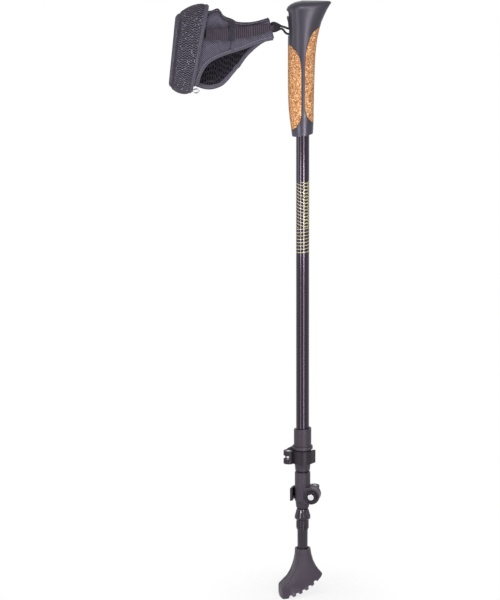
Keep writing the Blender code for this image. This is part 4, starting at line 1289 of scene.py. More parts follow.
@dataclass
class CordLoop:
    """Braided cord that joins the strap's webbing to the catch pin."""

    radius: float = 0.0012
    height: float = 0.0535
    cord_sides: int = 20
    strand_lift: float = 0.16
    turn_in_radii: float = 4.2
    sheath_start: float = -0.0322
    sheath_end: float = -0.0232
    sheath_heights: tuple[float, float] = (0.0054, 0.0028)
    sheath_depths: tuple[float, float] = (0.0018, 0.0021)
    sheath_middle: float = 0.0038
    sheath_steps: int = 20
    sheath_sides: int = 28
    crimp: float = 0.04
    blend_start: Point = (-0.0190, 0.0, 0.0560)
    points: tuple[Point, ...] = (
        (-0.0080, 0.0000, 0.0000), (-0.0087, 0.0018, 0.0006), (-0.0106, 0.0026, 0.0013),
        (-0.0135, 0.0022, 0.0017), (-0.0160, 0.0016, 0.0024), (-0.0190, 0.0014, 0.0036),
        (-0.0225, 0.0014, 0.0047), (-0.0255, 0.0008, 0.0065), (-0.0283, 0.0002, 0.0080),
        (-0.0312, 0.0000, 0.0084), (-0.0330, 0.0000, 0.0070), (-0.0334, 0.0000, 0.0039),
        (-0.0330, 0.0000, 0.0008), (-0.0312, 0.0000, -0.0006), (-0.0283, -0.0002, -0.0002),
        (-0.0255, -0.0008, 0.0011), (-0.0225, -0.0014, 0.0024), (-0.0202, -0.0015, 0.0010),
        (-0.0182, -0.0016, -0.0016), (-0.0160, -0.0017, -0.0030), (-0.0135, -0.0022, -0.0029),
        (-0.0106, -0.0026, -0.0014), (-0.0087, -0.0018, -0.0006),
    )

    def make_sheath(self) -> None:
        """Tapered sleeve that holds the two strands together beside the webbing."""
        (tall_start, tall_end), (deep_start, deep_end) = self.sheath_heights, self.sheath_depths
        length = self.sheath_end - self.sheath_start
        points, cloth = [], []
        for share in evenly(0.0, 1.0, self.sheath_steps):
            tall = tall_start + (tall_end - tall_start) * share ** 0.8
            deep = deep_start + (deep_end - deep_start) * share
            middle = Vector((self.sheath_start + length * share, 0.0, self.height + self.sheath_middle))
            for k in range(self.sheath_sides):
                angle = 2 * math.pi * k / self.sheath_sides
                reach = Vector((0.0, math.cos(angle) * deep, math.sin(angle) * tall))
                points.append(middle + reach * (1.0 + self.crimp * math.sin(3.0 * angle + 9.0 * share)))
                cloth.append((length * share, angle * tall))
        faces = tube_faces(self.sheath_steps + 1, self.sheath_sides)
        sheath = dress(mesh_piece("cord_sheath", points, faces, cloth), Finishes.SHEATH)
        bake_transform(sheath)

    def make_cord(self) -> None:
        """Cord with its braid raised on the surface."""
        path = rounded_loop([(x, y, z + self.height) for x, y, z in self.points], 16)
        count = len(path)
        along = lengths(path + [path[0]])
        turns = round(along[-1] / (self.radius * self.turn_in_radii))
        points, cloth = [], []
        normal = Vector((0.0, 1.0, 0.0))
        for i, centre in enumerate(path):
            run = (path[(i + 1) % count] - path[i - 1]).normalized()
            normal = (normal - run * normal.dot(run)).normalized()
            side = run.cross(normal)
            twist = 2 * math.pi * turns * along[i] / along[-1]
            for k in range(self.cord_sides):
                angle = 2 * math.pi * k / self.cord_sides
                braid = max(math.sin(2 * angle + twist) ** 2, math.sin(2 * angle - twist) ** 2)
                reach = self.radius * (1.0 - self.strand_lift * (1.0 - braid))
                points.append(centre + (normal * math.cos(angle) + side * math.sin(angle)) * reach)
                cloth.append((along[i], self.radius * angle))
        faces = tube_faces(count, self.cord_sides, closed=True)
        cord = dress(mesh_piece("strap_cord_braid", points, faces, cloth), Finishes.CORD)
        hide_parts("strap_cord")
        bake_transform(cord)
        LOG.info("cord loop: %.0f mm round", along[-1] * 1000)

    def build(self) -> None:
        """Make the sleeve and the cord."""
        self.make_sheath()
        self.make_cord()


@dataclass
class StrapForm:
    """Form of the glove strap's two leaves, which their patches, tapes and webbing lie on."""

    start_x: float = -0.0018
    end_x: float = -0.0748
    thickness: float = 0.0014
    web_gap: float = 0.0003
    fabric_gap: float = 0.0007
    wrist_depth: float = 0.0138
    opens_from: float = 0.25
    least_opening: float = 0.03
    lean: float = 0.13
    web_slant: float = 0.25
    cord_room: float = 0.0009
    cord_room_reach: float = 0.005
    centre_heights: tuple[float, float] = (-0.0054, -0.0234)
    reaches: tuple[float, float] = (0.0180, 0.0415)
    top_edge: Curve = (
        (-0.0748, 0.0066), (-0.0688, 0.0116), (-0.0655, 0.0152), (-0.0603, 0.0178), (-0.0545, 0.0190),
        (-0.0509, 0.0126), (-0.0468, 0.0096), (-0.0416, 0.0079), (-0.0364, 0.0048), (-0.0260, 0.0039),
        (-0.0155, 0.0050), (-0.0051, 0.0076), (-0.0018, 0.0088),
    )
    near_low_edge: Curve = (
        (-0.0748, -0.0604), (-0.0703, -0.0594), (-0.0686, -0.0494), (-0.0636, -0.0384),
        (-0.0549, -0.0312), (-0.0476, -0.0274), (-0.0375, -0.0238), (-0.0261, -0.0201),
        (-0.0144, -0.0156), (-0.0018, -0.0114),
    )
    far_low_edge: Curve = (
        (-0.0748, -0.0604), (-0.0674, -0.0642), (-0.0610, -0.0662), (-0.0548, -0.0659),
        (-0.0476, -0.0619), (-0.0368, -0.0466), (-0.0262, -0.0308), (-0.0177, -0.0219),
        (-0.0093, -0.0150), (-0.0018, -0.0112),
    )
    patch_end: float = -0.0413
    patch_thickness: float = 0.0009

    def wrist_share(self, x: float) -> float:
        """Share of the way from the web to the wrist."""
        return min(1.0, max(0.0, (self.start_x - x) / (self.start_x - self.end_x)))

    def half_depth(self, x: float, z: float) -> float:
        """Half depth of the hand opening at a point of the side view.

        Args:
            x: Place along the strap.
            z: Height.

        Returns:
            The distance from the strap's middle plane to a leaf's inner face.
        """
        share = self.wrist_share(x)
        opening = max(0.0, (share - self.opens_from) / (1.0 - self.opens_from))
        depth = self.wrist_depth * (self.least_opening + (1.0 - self.least_opening) * opening ** 0.9)
        centre = self.centre_heights[0] + (self.centre_heights[1] - self.centre_heights[0]) * share
        reach = self.reaches[0] + (self.reaches[1] - self.reaches[0]) * share
        room = self.cord_room * math.exp(-((x - self.start_x) / self.cord_room_reach) ** 2)
        return self.web_gap + room + depth * math.sqrt(max(0.04, 1.0 - ((z - centre) / reach) ** 2))

    def outward(self, side: Side, x: float, z: float) -> Vector:
        """Direction that points out of a leaf.

        Args:
            side: Which leaf.
            x: Place along the strap.
            z: Height.

        Returns:
            The direction.
        """
        step = 0.0005
        depth = self.half_depth(x, z)
        slope_x = (self.half_depth(x + step, z) - depth) / step
        slope_z = (self.half_depth(x, z + step) - depth) / step
        return Vector((-slope_x, side.value, -slope_z)).normalized()

    def leaf_point(self, side: Side, x: float, z: float, lift: float) -> Vector:
        """Point over one leaf's inner face.

        Args:
            side: Which leaf.
            x: Place along the strap.
            z: Height.
            lift: Distance outside the inner face.

        Returns:
            The point, before the leaf's lean.
        """
        inner = Vector((x, side.value * self.half_depth(x, z), z))
        return Vector(STRAP_HINGE) + inner + self.outward(side, x, z) * lift

    def leaf_grid(self, side: Side, lift: float, steps: tuple[int, int], start: float, end: float,
                  shaped: Callable[[float, float], float], margin: float = 0.0) -> Grid:
        """Grid of points on one leaf, as columns from its top edge to its lower edge.

        Args:
            side: Which leaf.
            lift: Distance outside the inner face.
            steps: Number of steps along the strap and down the leaf.
            start: Where the first column stands.
            end: Where the last column stands.
            shaped: Extra lift at a share along and a share down.
            margin: Distance that the grid keeps from the top and the lower edge.

        Returns:
            The grid.
        """
        low_edge = self.near_low_edge if side is Side.NEAR else self.far_low_edge
        columns, rows = steps
        grid = []
        for i, x in enumerate(evenly(start, end, columns)):
            share = self.wrist_share(x)
            slant = self.web_slant * (1.0 - share) ** 12 - self.lean * share ** 2
            top = smooth_value(self.top_edge, x) - margin
            low = smooth_value(low_edge, x) + margin
            column = []
            for j, z in enumerate(evenly(top, low, rows)):
                point = self.leaf_point(side, x, z, lift + shaped(i / columns, j / rows))
                column.append(point + Vector((slant * (top - z), 0.0, 0.0)))
            grid.append(column)
        return grid


@dataclass
class StrapLeaves(StrapForm):
    """Two leaves of twill over a mesh lining, each with a patch at its web end."""

    leaf_steps: tuple[int, int] = (66, 34)
    leaf_flat: tuple[float, float] = (0.100, 0.086)
    leaf_hold: float = 0.25
    pucker_height: float = 0.00035
    patch_start: float = -0.0022
    patch_margin: float = 0.0010
    patch_steps: tuple[int, int] = (40, 18)
    patch_flat: tuple[float, float] = (0.042, 0.037)
    hem_height: float = 0.0007
    hem_place: float = 0.955
    hem_width: float = 0.035
    fold_height: float = 0.00018

    def puckers(self, along: float, down: float) -> float:
        """Shallow folds that fan out from the web, none at the sewn edges.

        Args:
            along: Share of the way from the web to the wrist.
            down: Share of the way down the leaf.

        Returns:
            Extra lift in metres.
        """
        sewn = math.sin(math.pi * min(1.0, max(0.0, down))) ** 0.7
        fan = math.sin(9.0 * down + 5.0 * along + 1.3 * math.sin(7.0 * along))
        cross = math.sin(17.0 * along + 3.0 * down) * 0.5
        return self.pucker_height * sewn * (fan + cross) * min(1.0, along * 4)

    def make_leaf(self, side: Side) -> None:
        """One leaf: a twill shell over a mesh lining, sewn together.

        Args:
            side: Which leaf.
        """
        inner, middle, outer = (
            self.leaf_grid(side, lift, self.leaf_steps, self.start_x, self.end_x, self.puckers)
            for lift in (0.0, self.thickness / 2, self.thickness)
        )
        lining = dress(slab(side.leaf + "_leaf_lining", inner, middle), Finishes.LINING_MESH)
        shell = dress(slab(side.leaf + "_leaf_shell", middle, outer), Finishes.TWILL)
        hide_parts(side.leaf + "_leaf")
        self.settle_leaf(shell)
        for piece in (lining, shell):
            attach(piece, Body.STRAP.value)

    def settle_leaf(self, shell: Thing) -> None:
        """Let the free cloth of a shell pucker a little between its seams.

        Args:
            shell: The leaf's shell.
        """
        columns, rows = self.leaf_steps
        size = (columns + 1) * (rows + 1)
        free_from = int(columns * self.wrist_share(self.patch_end)) + 2

        def held(index: int) -> float:
            """Keep the inner face, the edges and what lies under the patch where they are.

            Args:
                index: Place of a point in the list.

            Returns:
                How firmly the point is held.
            """
            i, j = divmod(index % size, rows + 1)
            edge = j < 3 or j > rows - 3 or i < free_from or i > columns - 3
            return 1.0 if index < size or edge else self.leaf_hold

        ClothSettling(pressure=0.0, growth=0.05).settle(shell, held)

    def make_patch(self, side: Side) -> None:
        """Second layer of twill over the web end of a leaf, with a turned hem at its wrist end.

        Args:
            side: Which leaf.
        """
        lift = self.thickness + self.fabric_gap

        def hem(along: float, down: float) -> float:
            """Soft ridge of the hem and faint folds.

            Args:
                along: Share of the way along the patch.
                down: Share of the way down it.

            Returns:
                Extra lift in metres.
            """
            ridge = math.exp(-((along - self.hem_place) / self.hem_width) ** 2) * self.hem_height
            folds = self.fold_height * math.sin(13.0 * along + 6.0 * down) * math.sin(math.pi * down)
            return ridge + folds

        grids = [
            self.leaf_grid(side, lift + extra, self.patch_steps, self.patch_start, self.patch_end, hem,
                           self.patch_margin)
            for extra in (0.0, self.patch_thickness)
        ]
        patch = dress(slab(side.leaf + "_patch_twill", *grids), Finishes.TWILL)
        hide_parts(side.leaf + "_patch")
        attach(patch, Body.STRAP.value)

    def build(self) -> None:
        """Make both leaves and their patches."""
        for side in Side:
            self.make_leaf(side)
            self.make_patch(side)
        LOG.info("strap leaves made")


@dataclass
class StrapBindings(StrapForm):
    """Tapes sewn round the edges of the leaves."""

    tape_half_width: float = 0.0024
    top_tape_share: float = 0.7
    tape_half_thickness: float = 0.0012
    tape_steps: tuple[int, int] = (90, 30)
    stitch_inset: float = 0.55
    stitch_sunk: float = 0.3
    stitch_length: float = 0.0019
    stitch_gap: float = 0.0009
    stitch_radius: float = 0.00022
    stitch_sides: int = 6
    stitch_rings: Curve = ((0.0, 0.3), (0.15, 1.0), (0.85, 1.0), (1.0, 0.3))

    def make_leaf_tapes(self, side: Side) -> None:
        """Bindings along the top and the lower edge of a leaf, with their stitches.

        Args:
            side: Which leaf.
        """
        patch = (self.fabric_gap + self.patch_thickness) / 2
        hem = self.wrist_share(self.patch_end)
        columns, rows = self.tape_steps
        half_thickness = self.tape_half_thickness + patch * 0.7

        def over_patch(along: float, down: float) -> float:
            """The tape takes in the patch as well, as far as its hem."""
            return patch * (1.0 - min(1.0, max(0.0, (along - hem) / 0.03)))

        grid = self.leaf_grid(side, self.thickness / 2, self.tape_steps, self.start_x - 0.0006, self.end_x,
                              over_patch)
        for edge, row, width_share, finish in (
            ("top", 1, self.top_tape_share, Finishes.DARK_BINDING), ("low", rows - 1, 1.0, Finishes.BINDING),
        ):
            path = [column[row] for column in grid]
            outs = []
            for i, column in enumerate(grid):
                run = grid[min(i + 1, columns)][row] - grid[max(i - 1, 0)][row]
                out = run.cross(column[row + 1] - column[row - 1]).normalized()
                outs.append(out if out.y * side.value > 0 else -out)
            half_width = self.tape_half_width * width_share
            outline = round_outline(half_width, half_thickness, 14, 3.2)
            tape = dress(swept(f"{side.leaf}_{edge}_tape", path, outs, outline), finish)
            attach(tape, Body.STRAP.value)
            self.make_stitches(f"{side.leaf}_{edge}_stitches", path, outs, half_width * self.stitch_inset,
                               half_thickness)

    def make_stitches(self, name: str, path: list[Vector], outs: list[Vector], inset: float,
                      half_thickness: float) -> None:
        """Row of short stitches sunk into a tape.

        Args:
            name: Name of the piece.
            path: Line of the tape.
            outs: Direction out of the cloth.
            inset: Distance of the row from the tape's middle.
            half_thickness: Half the tape's thickness.
        """
        along = lengths(path)
        pitch = self.stitch_length + self.stitch_gap
        lift = half_thickness - self.stitch_radius * self.stitch_sunk
        sides, rings = self.stitch_sides, len(self.stitch_rings)
        points, faces, cloth = [], [], []

        def spot(place: float) -> tuple[Vector, Vector, Vector]:
            """Point on the row of stitches.

            Args:
                place: Distance along the tape.

            Returns:
                The point, and the directions out of the cloth and across the tape there.
            """
            k = max(i for i in range(len(along) - 1) if along[i] <= place)
            t = (place - along[k]) / (along[k + 1] - along[k])
            across = (path[k + 1] - path[k]).normalized().cross(outs[k]).normalized()
            return path[k].lerp(path[k + 1], t) + outs[k] * lift + across * inset, outs[k], across

        for number in range(int(along[-1] / pitch) - 1):
            start, out, across = spot((number + 0.5) * pitch)
            end = spot((number + 0.5) * pitch + self.stitch_length)[0]
            faces += tube_faces(rings, sides, first=len(points))
            for share, size in self.stitch_rings:
                centre = start.lerp(end, share)
                for c in range(sides):
                    angle = 2 * math.pi * c / sides
                    ring = across * math.cos(angle) + out * math.sin(angle)
                    points.append(centre + ring * self.stitch_radius * size)
                    cloth.append((share * self.stitch_length, angle * self.stitch_radius))
        stitches = dress(mesh_piece(name, points, faces, cloth), Finishes.THREAD)
        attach(stitches, Body.STRAP.value)

    def build(self) -> None:
        """Bind both leaves."""
        for side in Side:
            self.make_leaf_tapes(side)
        LOG.info("strap leaves bound")


@dataclass
class StrapWebbing(StrapForm):
    """Ribbed webbing folded round the cord, and a dark strip of cloth across it that is painted shade."""

    webbing_width: float = 0.0118
    turn_width: float = 0.0054
    turn_reach: float = 0.0026
    turn_taper_power: int = 14
    webbing_thickness: float = 0.0012
    webbing_height: float = -0.0054
    webbing_near_end: float = -0.0680
    webbing_far_end: float = -0.0408
    webbing_rib: float = 0.0023
    webbing_rib_height: float = 0.00022
    webbing_rows: int = 8
    turn_steps: int = 24
    shade_strip_place: tuple[float, float] = (-0.0388, -0.0446)
    shade_strip_thickness: float = 0.0013
    shade_strip_overhang: float = 0.0016
    shade_strip_margin: float = 0.0008
    shade_strip_bend: float = 0.0005
    shade_strip_gap: float = 0.0001
    shade_strip_steps: tuple[int, int] = (12, 36)

    def webbing_middle(self, x: float) -> float:
        """Height of the webbing's middle, which rises towards the cord."""
        return self.webbing_height * (1.0 - (1.0 - self.wrist_share(x)) ** 3)

    def webbing_run(self, side: Side, end: float) -> list[Column]:
        """Straight run of the webbing on one leaf.

        Args:
            side: Which leaf.
            end: Where the webbing's end is sewn down.

        Returns:
            Its columns, from that end to the turn round the cord.
        """
        lift = self.thickness + self.patch_thickness + 2 * self.fabric_gap
        steps = round((self.start_x - end) / self.webbing_rib * 4)
        columns = []
        for x in evenly(end, self.start_x, steps):
            narrowing = (1.0 - self.wrist_share(x)) ** self.turn_taper_power
            width = self.webbing_width + (self.turn_width - self.webbing_width) * narrowing
            low = self.webbing_middle(x) - width / 2
            columns.append([(self.leaf_point(side, x, z, lift), self.outward(side, x, z))
                            for z in evenly(low, low + width, self.webbing_rows)])
        return columns

    def webbing_turn(self, half_depth: float) -> list[Column]:
        """Turn of the webbing round the cord.

        Args:
            half_depth: Distance of the two runs from the strap's middle plane where they meet it.

        Returns:
            Its columns, from the near run to the far one.
        """
        heights = evenly(-self.turn_width / 2, self.turn_width / 2, self.webbing_rows)
        columns = []
        for angle in evenly(-math.pi / 2, math.pi / 2, self.turn_steps)[1:-1]:
            reach, aside = math.cos(angle), math.sin(angle)
            out = Vector((reach / self.turn_reach, aside / half_depth, 0.0)).normalized()
            middle = Vector(STRAP_HINGE) + Vector((reach * self.turn_reach, aside * half_depth, 0.0))
            columns.append([(middle + Vector((0.0, 0.0, height)), out) for height in heights])
        return columns

    def make_webbing(self) -> None:
        """Ribbed webbing: along the near leaf, round the cord and back along the far leaf."""
        centre_row = self.webbing_rows // 2
        near = self.webbing_run(Side.NEAR, self.webbing_near_end)
        far = self.webbing_run(Side.FAR, self.webbing_far_end)
        strip = near + self.webbing_turn(-near[-1][centre_row][0].y) + far[::-1]
        along = lengths([column[centre_row][0] for column in strip])
        inner, outer = [], []
        for column, u in zip(strip, along):
            rib = self.webbing_rib_height * math.cos(2 * math.pi * u / self.webbing_rib)
            inner.append([point for point, _ in column])
            outer.append([])
            for (point, out), crown in zip(column, crowns(self.webbing_rows, 0.6, 0.4)):
                outer[-1].append(point + out * (self.webbing_thickness + rib * crown))
        webbing = dress(slab("ribbed_webbing", inner, outer), Finishes.WEBBING)
        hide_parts("strap_webbing")
        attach(webbing, Body.STRAP.value)
        LOG.info("webbing: %.0f mm long", along[-1] * 1000)

    def make_shade_strip(self) -> None:
        """Dark strip of cloth across the near webbing at the patch's hem, painted shade where the raised
        patch end shades the webbing.
        """
        base = self.thickness + self.patch_thickness + 2 * self.fabric_gap + self.webbing_thickness
        columns, rows = self.shade_strip_steps
        half_webbing = self.webbing_width / 2
        low = self.webbing_height - half_webbing - self.shade_strip_overhang

        def layer(thickness: float) -> Grid:
            """Points of the dark strip at one of its faces.

            Args:
                thickness: Distance from its inner face.

            Returns:
                The grid.
            """
            grid = []
            for x, crown in zip(evenly(*self.shade_strip_place, columns), crowns(columns, 0.6, 0.6)):
                top = smooth_value(self.top_edge, x) - self.shade_strip_margin
                column = []
                for j, z in enumerate(evenly(top, low, rows)):
                    beyond = abs(z - self.webbing_height) / (half_webbing + self.shade_strip_margin) - 1.0
                    settled = self.webbing_thickness * min(1.0, max(0.0, beyond * 3.0))
                    bend = self.shade_strip_bend * math.sin(4.0 * math.pi * j / rows)
                    lift = base - settled + thickness * crown + self.shade_strip_gap
                    column.append(self.leaf_point(Side.NEAR, x + bend, z, lift))
                grid.append(column)
            return grid

        # dark cloth laid across the webbing as painted shade at the patch's hem
        shade_strip = dress(slab("front_shade_strip", layer(0.0), layer(self.shade_strip_thickness)), Finishes.SHADE_STRIP_TWILL)
        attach(shade_strip, Body.STRAP.value)

    def build(self) -> None:
        """Make the webbing and the dark strip of painted shade across it."""
        self.make_webbing()
        self.make_shade_strip()
        LOG.info("strap webbing made")


@dataclass
class WristBand:
    """Padded wrist band with bound edges, the closing flap on its far side and the ring at its foot."""

    centre: Point = (-0.0882, 0.0, -0.0226)
    half_height: float = 0.0420
    half_depth: float = 0.0195
    lean: float = math.radians(9.1)
    lean_spread: float = math.radians(-0.7)
    thickness: float = 0.0026
    top_width: float = 0.0334
    foot_width: float = 0.0245
    middle_size: float = 1.033
    taper: float = 0.114
    bulge: float = 0.110
    droop: float = 0.0016
    steps: int = 150
    rows: int = 26
    pad_hold: float = 0.12
    flap_share: float = 0.80
    flap_gap: float = 0.0007
    flap_thickness: float = 0.0012
    flap_angles: tuple[float, float] = (math.radians(25), math.radians(165))
    flap_steps: tuple[int, int] = (70, 12)
    flap_allowances: tuple[float, float] = (1.05, 1.02)
    tape_share: float = 0.15
    tape_overhang: float = 0.03
    tape_rows: int = 8
    edge_height: float = 0.0006
    strip_share: float = 0.24
    strip_thickness: float = 0.0008

    def point(self, angle: float, out: float, across: float) -> Vector:
        """Point of the band.

        Args:
            angle: Angle round it, 0 at the top.
            out: Distance outside its inner face.
            across: Share across it, from -1 to 1.

        Returns:
            The point.
        """
        up, aside = math.cos(angle), math.sin(angle)
        width = self.foot_width + (self.top_width - self.foot_width) * (up + 1) / 2
        size = self.middle_size + self.taper * across - self.bulge * across ** 2
        height = (self.half_height * size + out) * up - self.droop * (1.0 - across) / 2
        run = across * width / 2 + math.tan(self.lean + self.lean_spread * across) * height
        aside *= self.half_depth * size + out
        return Vector(STRAP_HINGE) + Vector(self.centre) + Vector((run, aside, height))

    def angles(self) -> list[float]:
        """Angles of the columns round the band."""
        return evenly(0.0, 2 * math.pi, self.steps)[:-1]

    def pad_height(self, angle: float, across: float) -> float:
        """Thickness of the padding, full in the middle and thin at the bound edges.

        Args:
            angle: Angle round the band, 0 at the top.
            across: Share across it, from -1 to 1.

        Returns:
            The thickness.
        """
        swell = (1.0 - abs(across) ** 5) ** 0.5
        ripple = 0.05 * math.sin(7.0 * angle + 2.0 * across) + 0.04 * math.sin(15.0 * angle - 3.0 * across)
        return self.thickness * (0.30 + 0.66 * swell + ripple * swell)

    def make_pad(self) -> None:
        """Padding of the band, swollen a little by a cloth simulation."""
        shares = evenly(-1.0, 1.0, self.rows)
        inner, outer = [], []
        for angle in self.angles():
            inner.append([self.point(angle, 0.0, share) for share in shares])
            outer.append([self.point(angle, self.pad_height(angle, share), share) for share in shares])
        pad = dress(slab("wrist_band_pad", inner, outer, closed=True), Finishes.BAND_MESH)
        size = self.steps * (self.rows + 1)

        def held(index: int) -> float:
            """Keep the inner face and the bound edges where they are.

            Args:
                index: Place of a point in the list.

            Returns:
                How firmly the point is held.
            """
            row = index % size % (self.rows + 1)
            return 1.0 if index < size or row < 4 or row > self.rows - 4 else self.pad_hold

        ClothSettling(pressure=6.0, growth=0.03).settle(pad, held)
        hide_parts("wrist_band")
        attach(pad, Body.STRAP.value)
        LOG.info("wrist band pad: %d rows round", self.steps)

    def make_strip(self, name: str, low: float, high: float, lift: float, thickness: float,
                   finish: Finishes) -> None:
        """Strip of tape round the whole band.

        Args:
            name: Name of the piece.
            low: Share across the band where it starts.
            high: Share where it ends.
            lift: Distance of its foot outside the inner face.
            thickness: Its thickness.
            finish: Its finish.
        """
        shares = evenly(low, high, self.tape_rows)
        heights = [lift + thickness * crown for crown in crowns(self.tape_rows, 0.7, 0.5)]
        inner, outer = [], []
        for angle in self.angles():
            inner.append([self.point(angle, lift, share) for share in shares])
            outer.append([self.point(angle, height, share) for share, height in zip(shares, heights)])
        strip = dress(slab(name, inner, outer, closed=True), finish)
        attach(strip, Body.STRAP.value)

    def make_tapes(self) -> None:
        """Bound edges, and the flat second strip beside the wrist edge."""
        rim = 1.0 + self.tape_overhang
        for name, low, high in (
            ("band_hand_edge", 1.0 - 2.0 * self.tape_share, rim),
            ("band_wrist_edge", -rim, -1.0 + 1.4 * self.tape_share),
        ):
            self.make_strip(name, low, high, -self.edge_height / 2, self.thickness + self.edge_height,
                            Finishes.BINDING)
        low = -1.0 + 1.6 * self.tape_share
        self.make_strip("band_inner_strip", low, low + self.strip_share, self.thickness * 0.6,
                        self.strip_thickness + self.thickness * 0.35, Finishes.DARK_BINDING)

    def make_flap(self) -> None:
        """Closing flap on the far side, of looped tape."""
        steps, rows = self.flap_steps
        lift = self.thickness + self.flap_gap
        inner, outer = (
            [[self.point(angle, height, share) for share in evenly(-self.flap_share, self.flap_share, rows)]
             for angle in evenly(*self.flap_angles, steps)]
            for height in (lift, lift + self.flap_thickness)
        )
        flap = dress(slab("closing_flap", inner, outer), Finishes.LOOP_TAPE)
        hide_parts("wrist_flap")
        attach(flap, Body.STRAP.value)

    def build(self) -> None:
        """Make the band, its tapes and its flap, and dress its ring."""
        self.make_pad()
        self.make_tapes()
        self.make_flap()
        dress(frame["nodes"]["strap_ring"], Finishes.RING_STEEL)
        LOG.info("wrist band made")


@dataclass
class Shaft:
    """Three tubes with their guides, two lever clamps and the ferrule."""

    thread_turns: int = 6
    thread_pitch: float = 0.0019
    thread_core: float = 0.0062
    thread_top: float = -0.4800
    turn_steps: int = 40
    ridge_height: float = 0.0008
    ridge_foot_half: float = 0.0007
    ridge_crest_half: float = 0.0002

    def dress_nodes(self) -> None:
        """Dress the CAD nodes of the shaft."""
        finishes = {
            "upper_tube": Finishes.PRINTED_TUBE, "middle_tube": Finishes.PLAIN_TUBE,
            "lower_tube": Finishes.PLAIN_TUBE, "middle_guide": Finishes.CLAMP_NYLON,
            "lower_guide": Finishes.CLAMP_NYLON, "tip_ferrule": Finishes.FERRULE_NYLON,
            "carbide_tip": Finishes.CARBIDE,
        }
        for clamp in ("upper", "lower"):
            finishes |= {
                clamp + "_collar": Finishes.CLAMP_NYLON, clamp + "_lever": Finishes.LEVER_NYLON,
                clamp + "_knob": Finishes.LEVER_NYLON, clamp + "_bolt": Finishes.STEEL,
                clamp + "_barrel_pin": Finishes.STEEL,
            }
        for node, finish in finishes.items():
            dress(frame["nodes"][node], finish)

    def make_thread(self) -> None:
        """Coarse thread on the ferrule that a basket screws onto."""
        path, outs = [], []
        for share in evenly(0.0, 1.0, self.turn_steps * self.thread_turns):
            angle = 2 * math.pi * self.thread_turns * share
            out = Vector((math.cos(angle), math.sin(angle), 0.0))
            height = self.thread_top - self.thread_pitch * self.thread_turns * share
            sunk = 1.0 - min(1.0, 6.0 * min(share, 1.0 - share) + 0.05)
            path.append(Vector((0.0, 0.0, height)) + out * (self.thread_core - self.ridge_height * sunk))
            outs.append(out)
        foot, crest = self.ridge_foot_half, self.ridge_crest_half
        ridge = [(-foot, -crest), (-crest, self.ridge_height), (crest, self.ridge_height), (foot, -crest)]
        thread = dress(swept("ferrule_thread", path, outs, ridge), Finishes.FERRULE_NYLON)
        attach(thread, Body.LOWER.value)
        LOG.info("ferrule thread: %d turns", self.thread_turns)

    def build(self) -> None:
        """Dress the shaft and make its thread."""
        self.dress_nodes()
        self.make_thread()
        LOG.info("shaft dressed")


@dataclass
class Paw:
    """Rubber paw with its washer, and the raised beads along the edges of its sides."""

    turn: float = math.radians(15)
    edge_line: tuple[Point, ...] = (
        (-0.0045, -0.0068, -0.5134), (-0.0046, -0.0070, -0.5177), (-0.0049, -0.0072, -0.5216),
        (-0.0056, -0.0074, -0.5255), (-0.0063, -0.0079, -0.5291), (-0.0074, -0.0082, -0.5330),
        (-0.0086, -0.0088, -0.5365), (-0.0105, -0.0092, -0.5403), (-0.0127, -0.0099, -0.5440),
        (-0.0150, -0.0110, -0.5471), (-0.0174, -0.0122, -0.5499), (-0.0197, -0.0130, -0.5524),
        (-0.0212, -0.0134, -0.5546), (-0.0213, -0.0136, -0.5580), (-0.0211, -0.0137, -0.5610),
        (-0.0207, -0.0141, -0.5650),
    )
    bead_half_width: float = 0.0009
    bead_height: float = 0.0010
    smoothed_over: int = 6

    def make_bead(self, side: Side) -> None:
        """Bead along the rear edge of one side, from the rim down to the sole.

        Args:
            side: Which side of the paw.
        """
        skin = frame["nodes"]["rubber_paw"]
        to_paw = Matrix.Rotation(-self.turn, 3, "Z")
        flip = Matrix.Diagonal((1.0, -side.value, 1.0))
        ends = [to_paw.inverted() @ flip @ to_paw @ Vector(point) for point in self.edge_line]
        path, outs = [], []
        for point in rounded_loop([tuple(end) for end in ends], 6, False):
            near = skin.matrix_world.inverted() @ point
            _, spot, normal, _ = skin.closest_point_on_mesh(near)
            path.append(skin.matrix_world @ spot)
            outs.append(skin.matrix_world.to_3x3() @ normal)
        smooth = []
        for i in range(len(outs)):
            near_by = outs[max(0, i - self.smoothed_over):i + self.smoothed_over + 1]
            smooth.append(sum(near_by, Vector()).normalized())
        outline = round_outline(self.bead_half_width, self.bead_height, 10, 2.2)
        bead = dress(swept(f"paw_{side.name.lower()}_bead", path, smooth, outline), Finishes.PAW_RUBBER)
        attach(bead, Body.PAW.value)

    def build(self) -> None:
        """Dress the paw's nodes and add its beads."""
        dress(frame["nodes"]["rubber_paw"], Finishes.PAW_RUBBER)
        dress(frame["nodes"]["paw_washer"], Finishes.STEEL)
        for side in Side:
            self.make_bead(side)
        LOG.info("paw dressed")


# Studio


@dataclass(frozen=True)
class Lamp:
    """Soft lamp that stands round the pole, with its angle counted from the front towards +X."""

    name: str
    degrees: float
    distance: float
    foot: float
    width: float
    tall: float
    power: float

    def light(self, low: Vector, high: Vector) -> None:
        """Set up the lamp, aimed level at the shaft from within a metre and at its middle from farther away.

        Args:
            low: Low corner of the pole's box.
            high: High corner.
        """
        angle = math.radians(self.degrees)
        spot = Vector((math.sin(angle) * self.distance, -math.cos(angle) * self.distance,
                       low.z + self.foot + self.tall / 2))
        data = bpy.data.lights.new(self.name, "AREA")
        data.shape = "RECTANGLE"
        data.size, data.size_y = self.width, self.tall
        data.energy = self.power
        lamp = bpy.data.objects.new(self.name, data)
        lamp.location = spot
        aim = Vector((0.0, 0.0, spot.z)) if self.distance < 1.0 else (low + high) / 2
        lamp.rotation_euler = (aim - spot).to_track_quat("-Z", "Y").to_euler()
        bpy.context.scene.collection.objects.link(lamp)


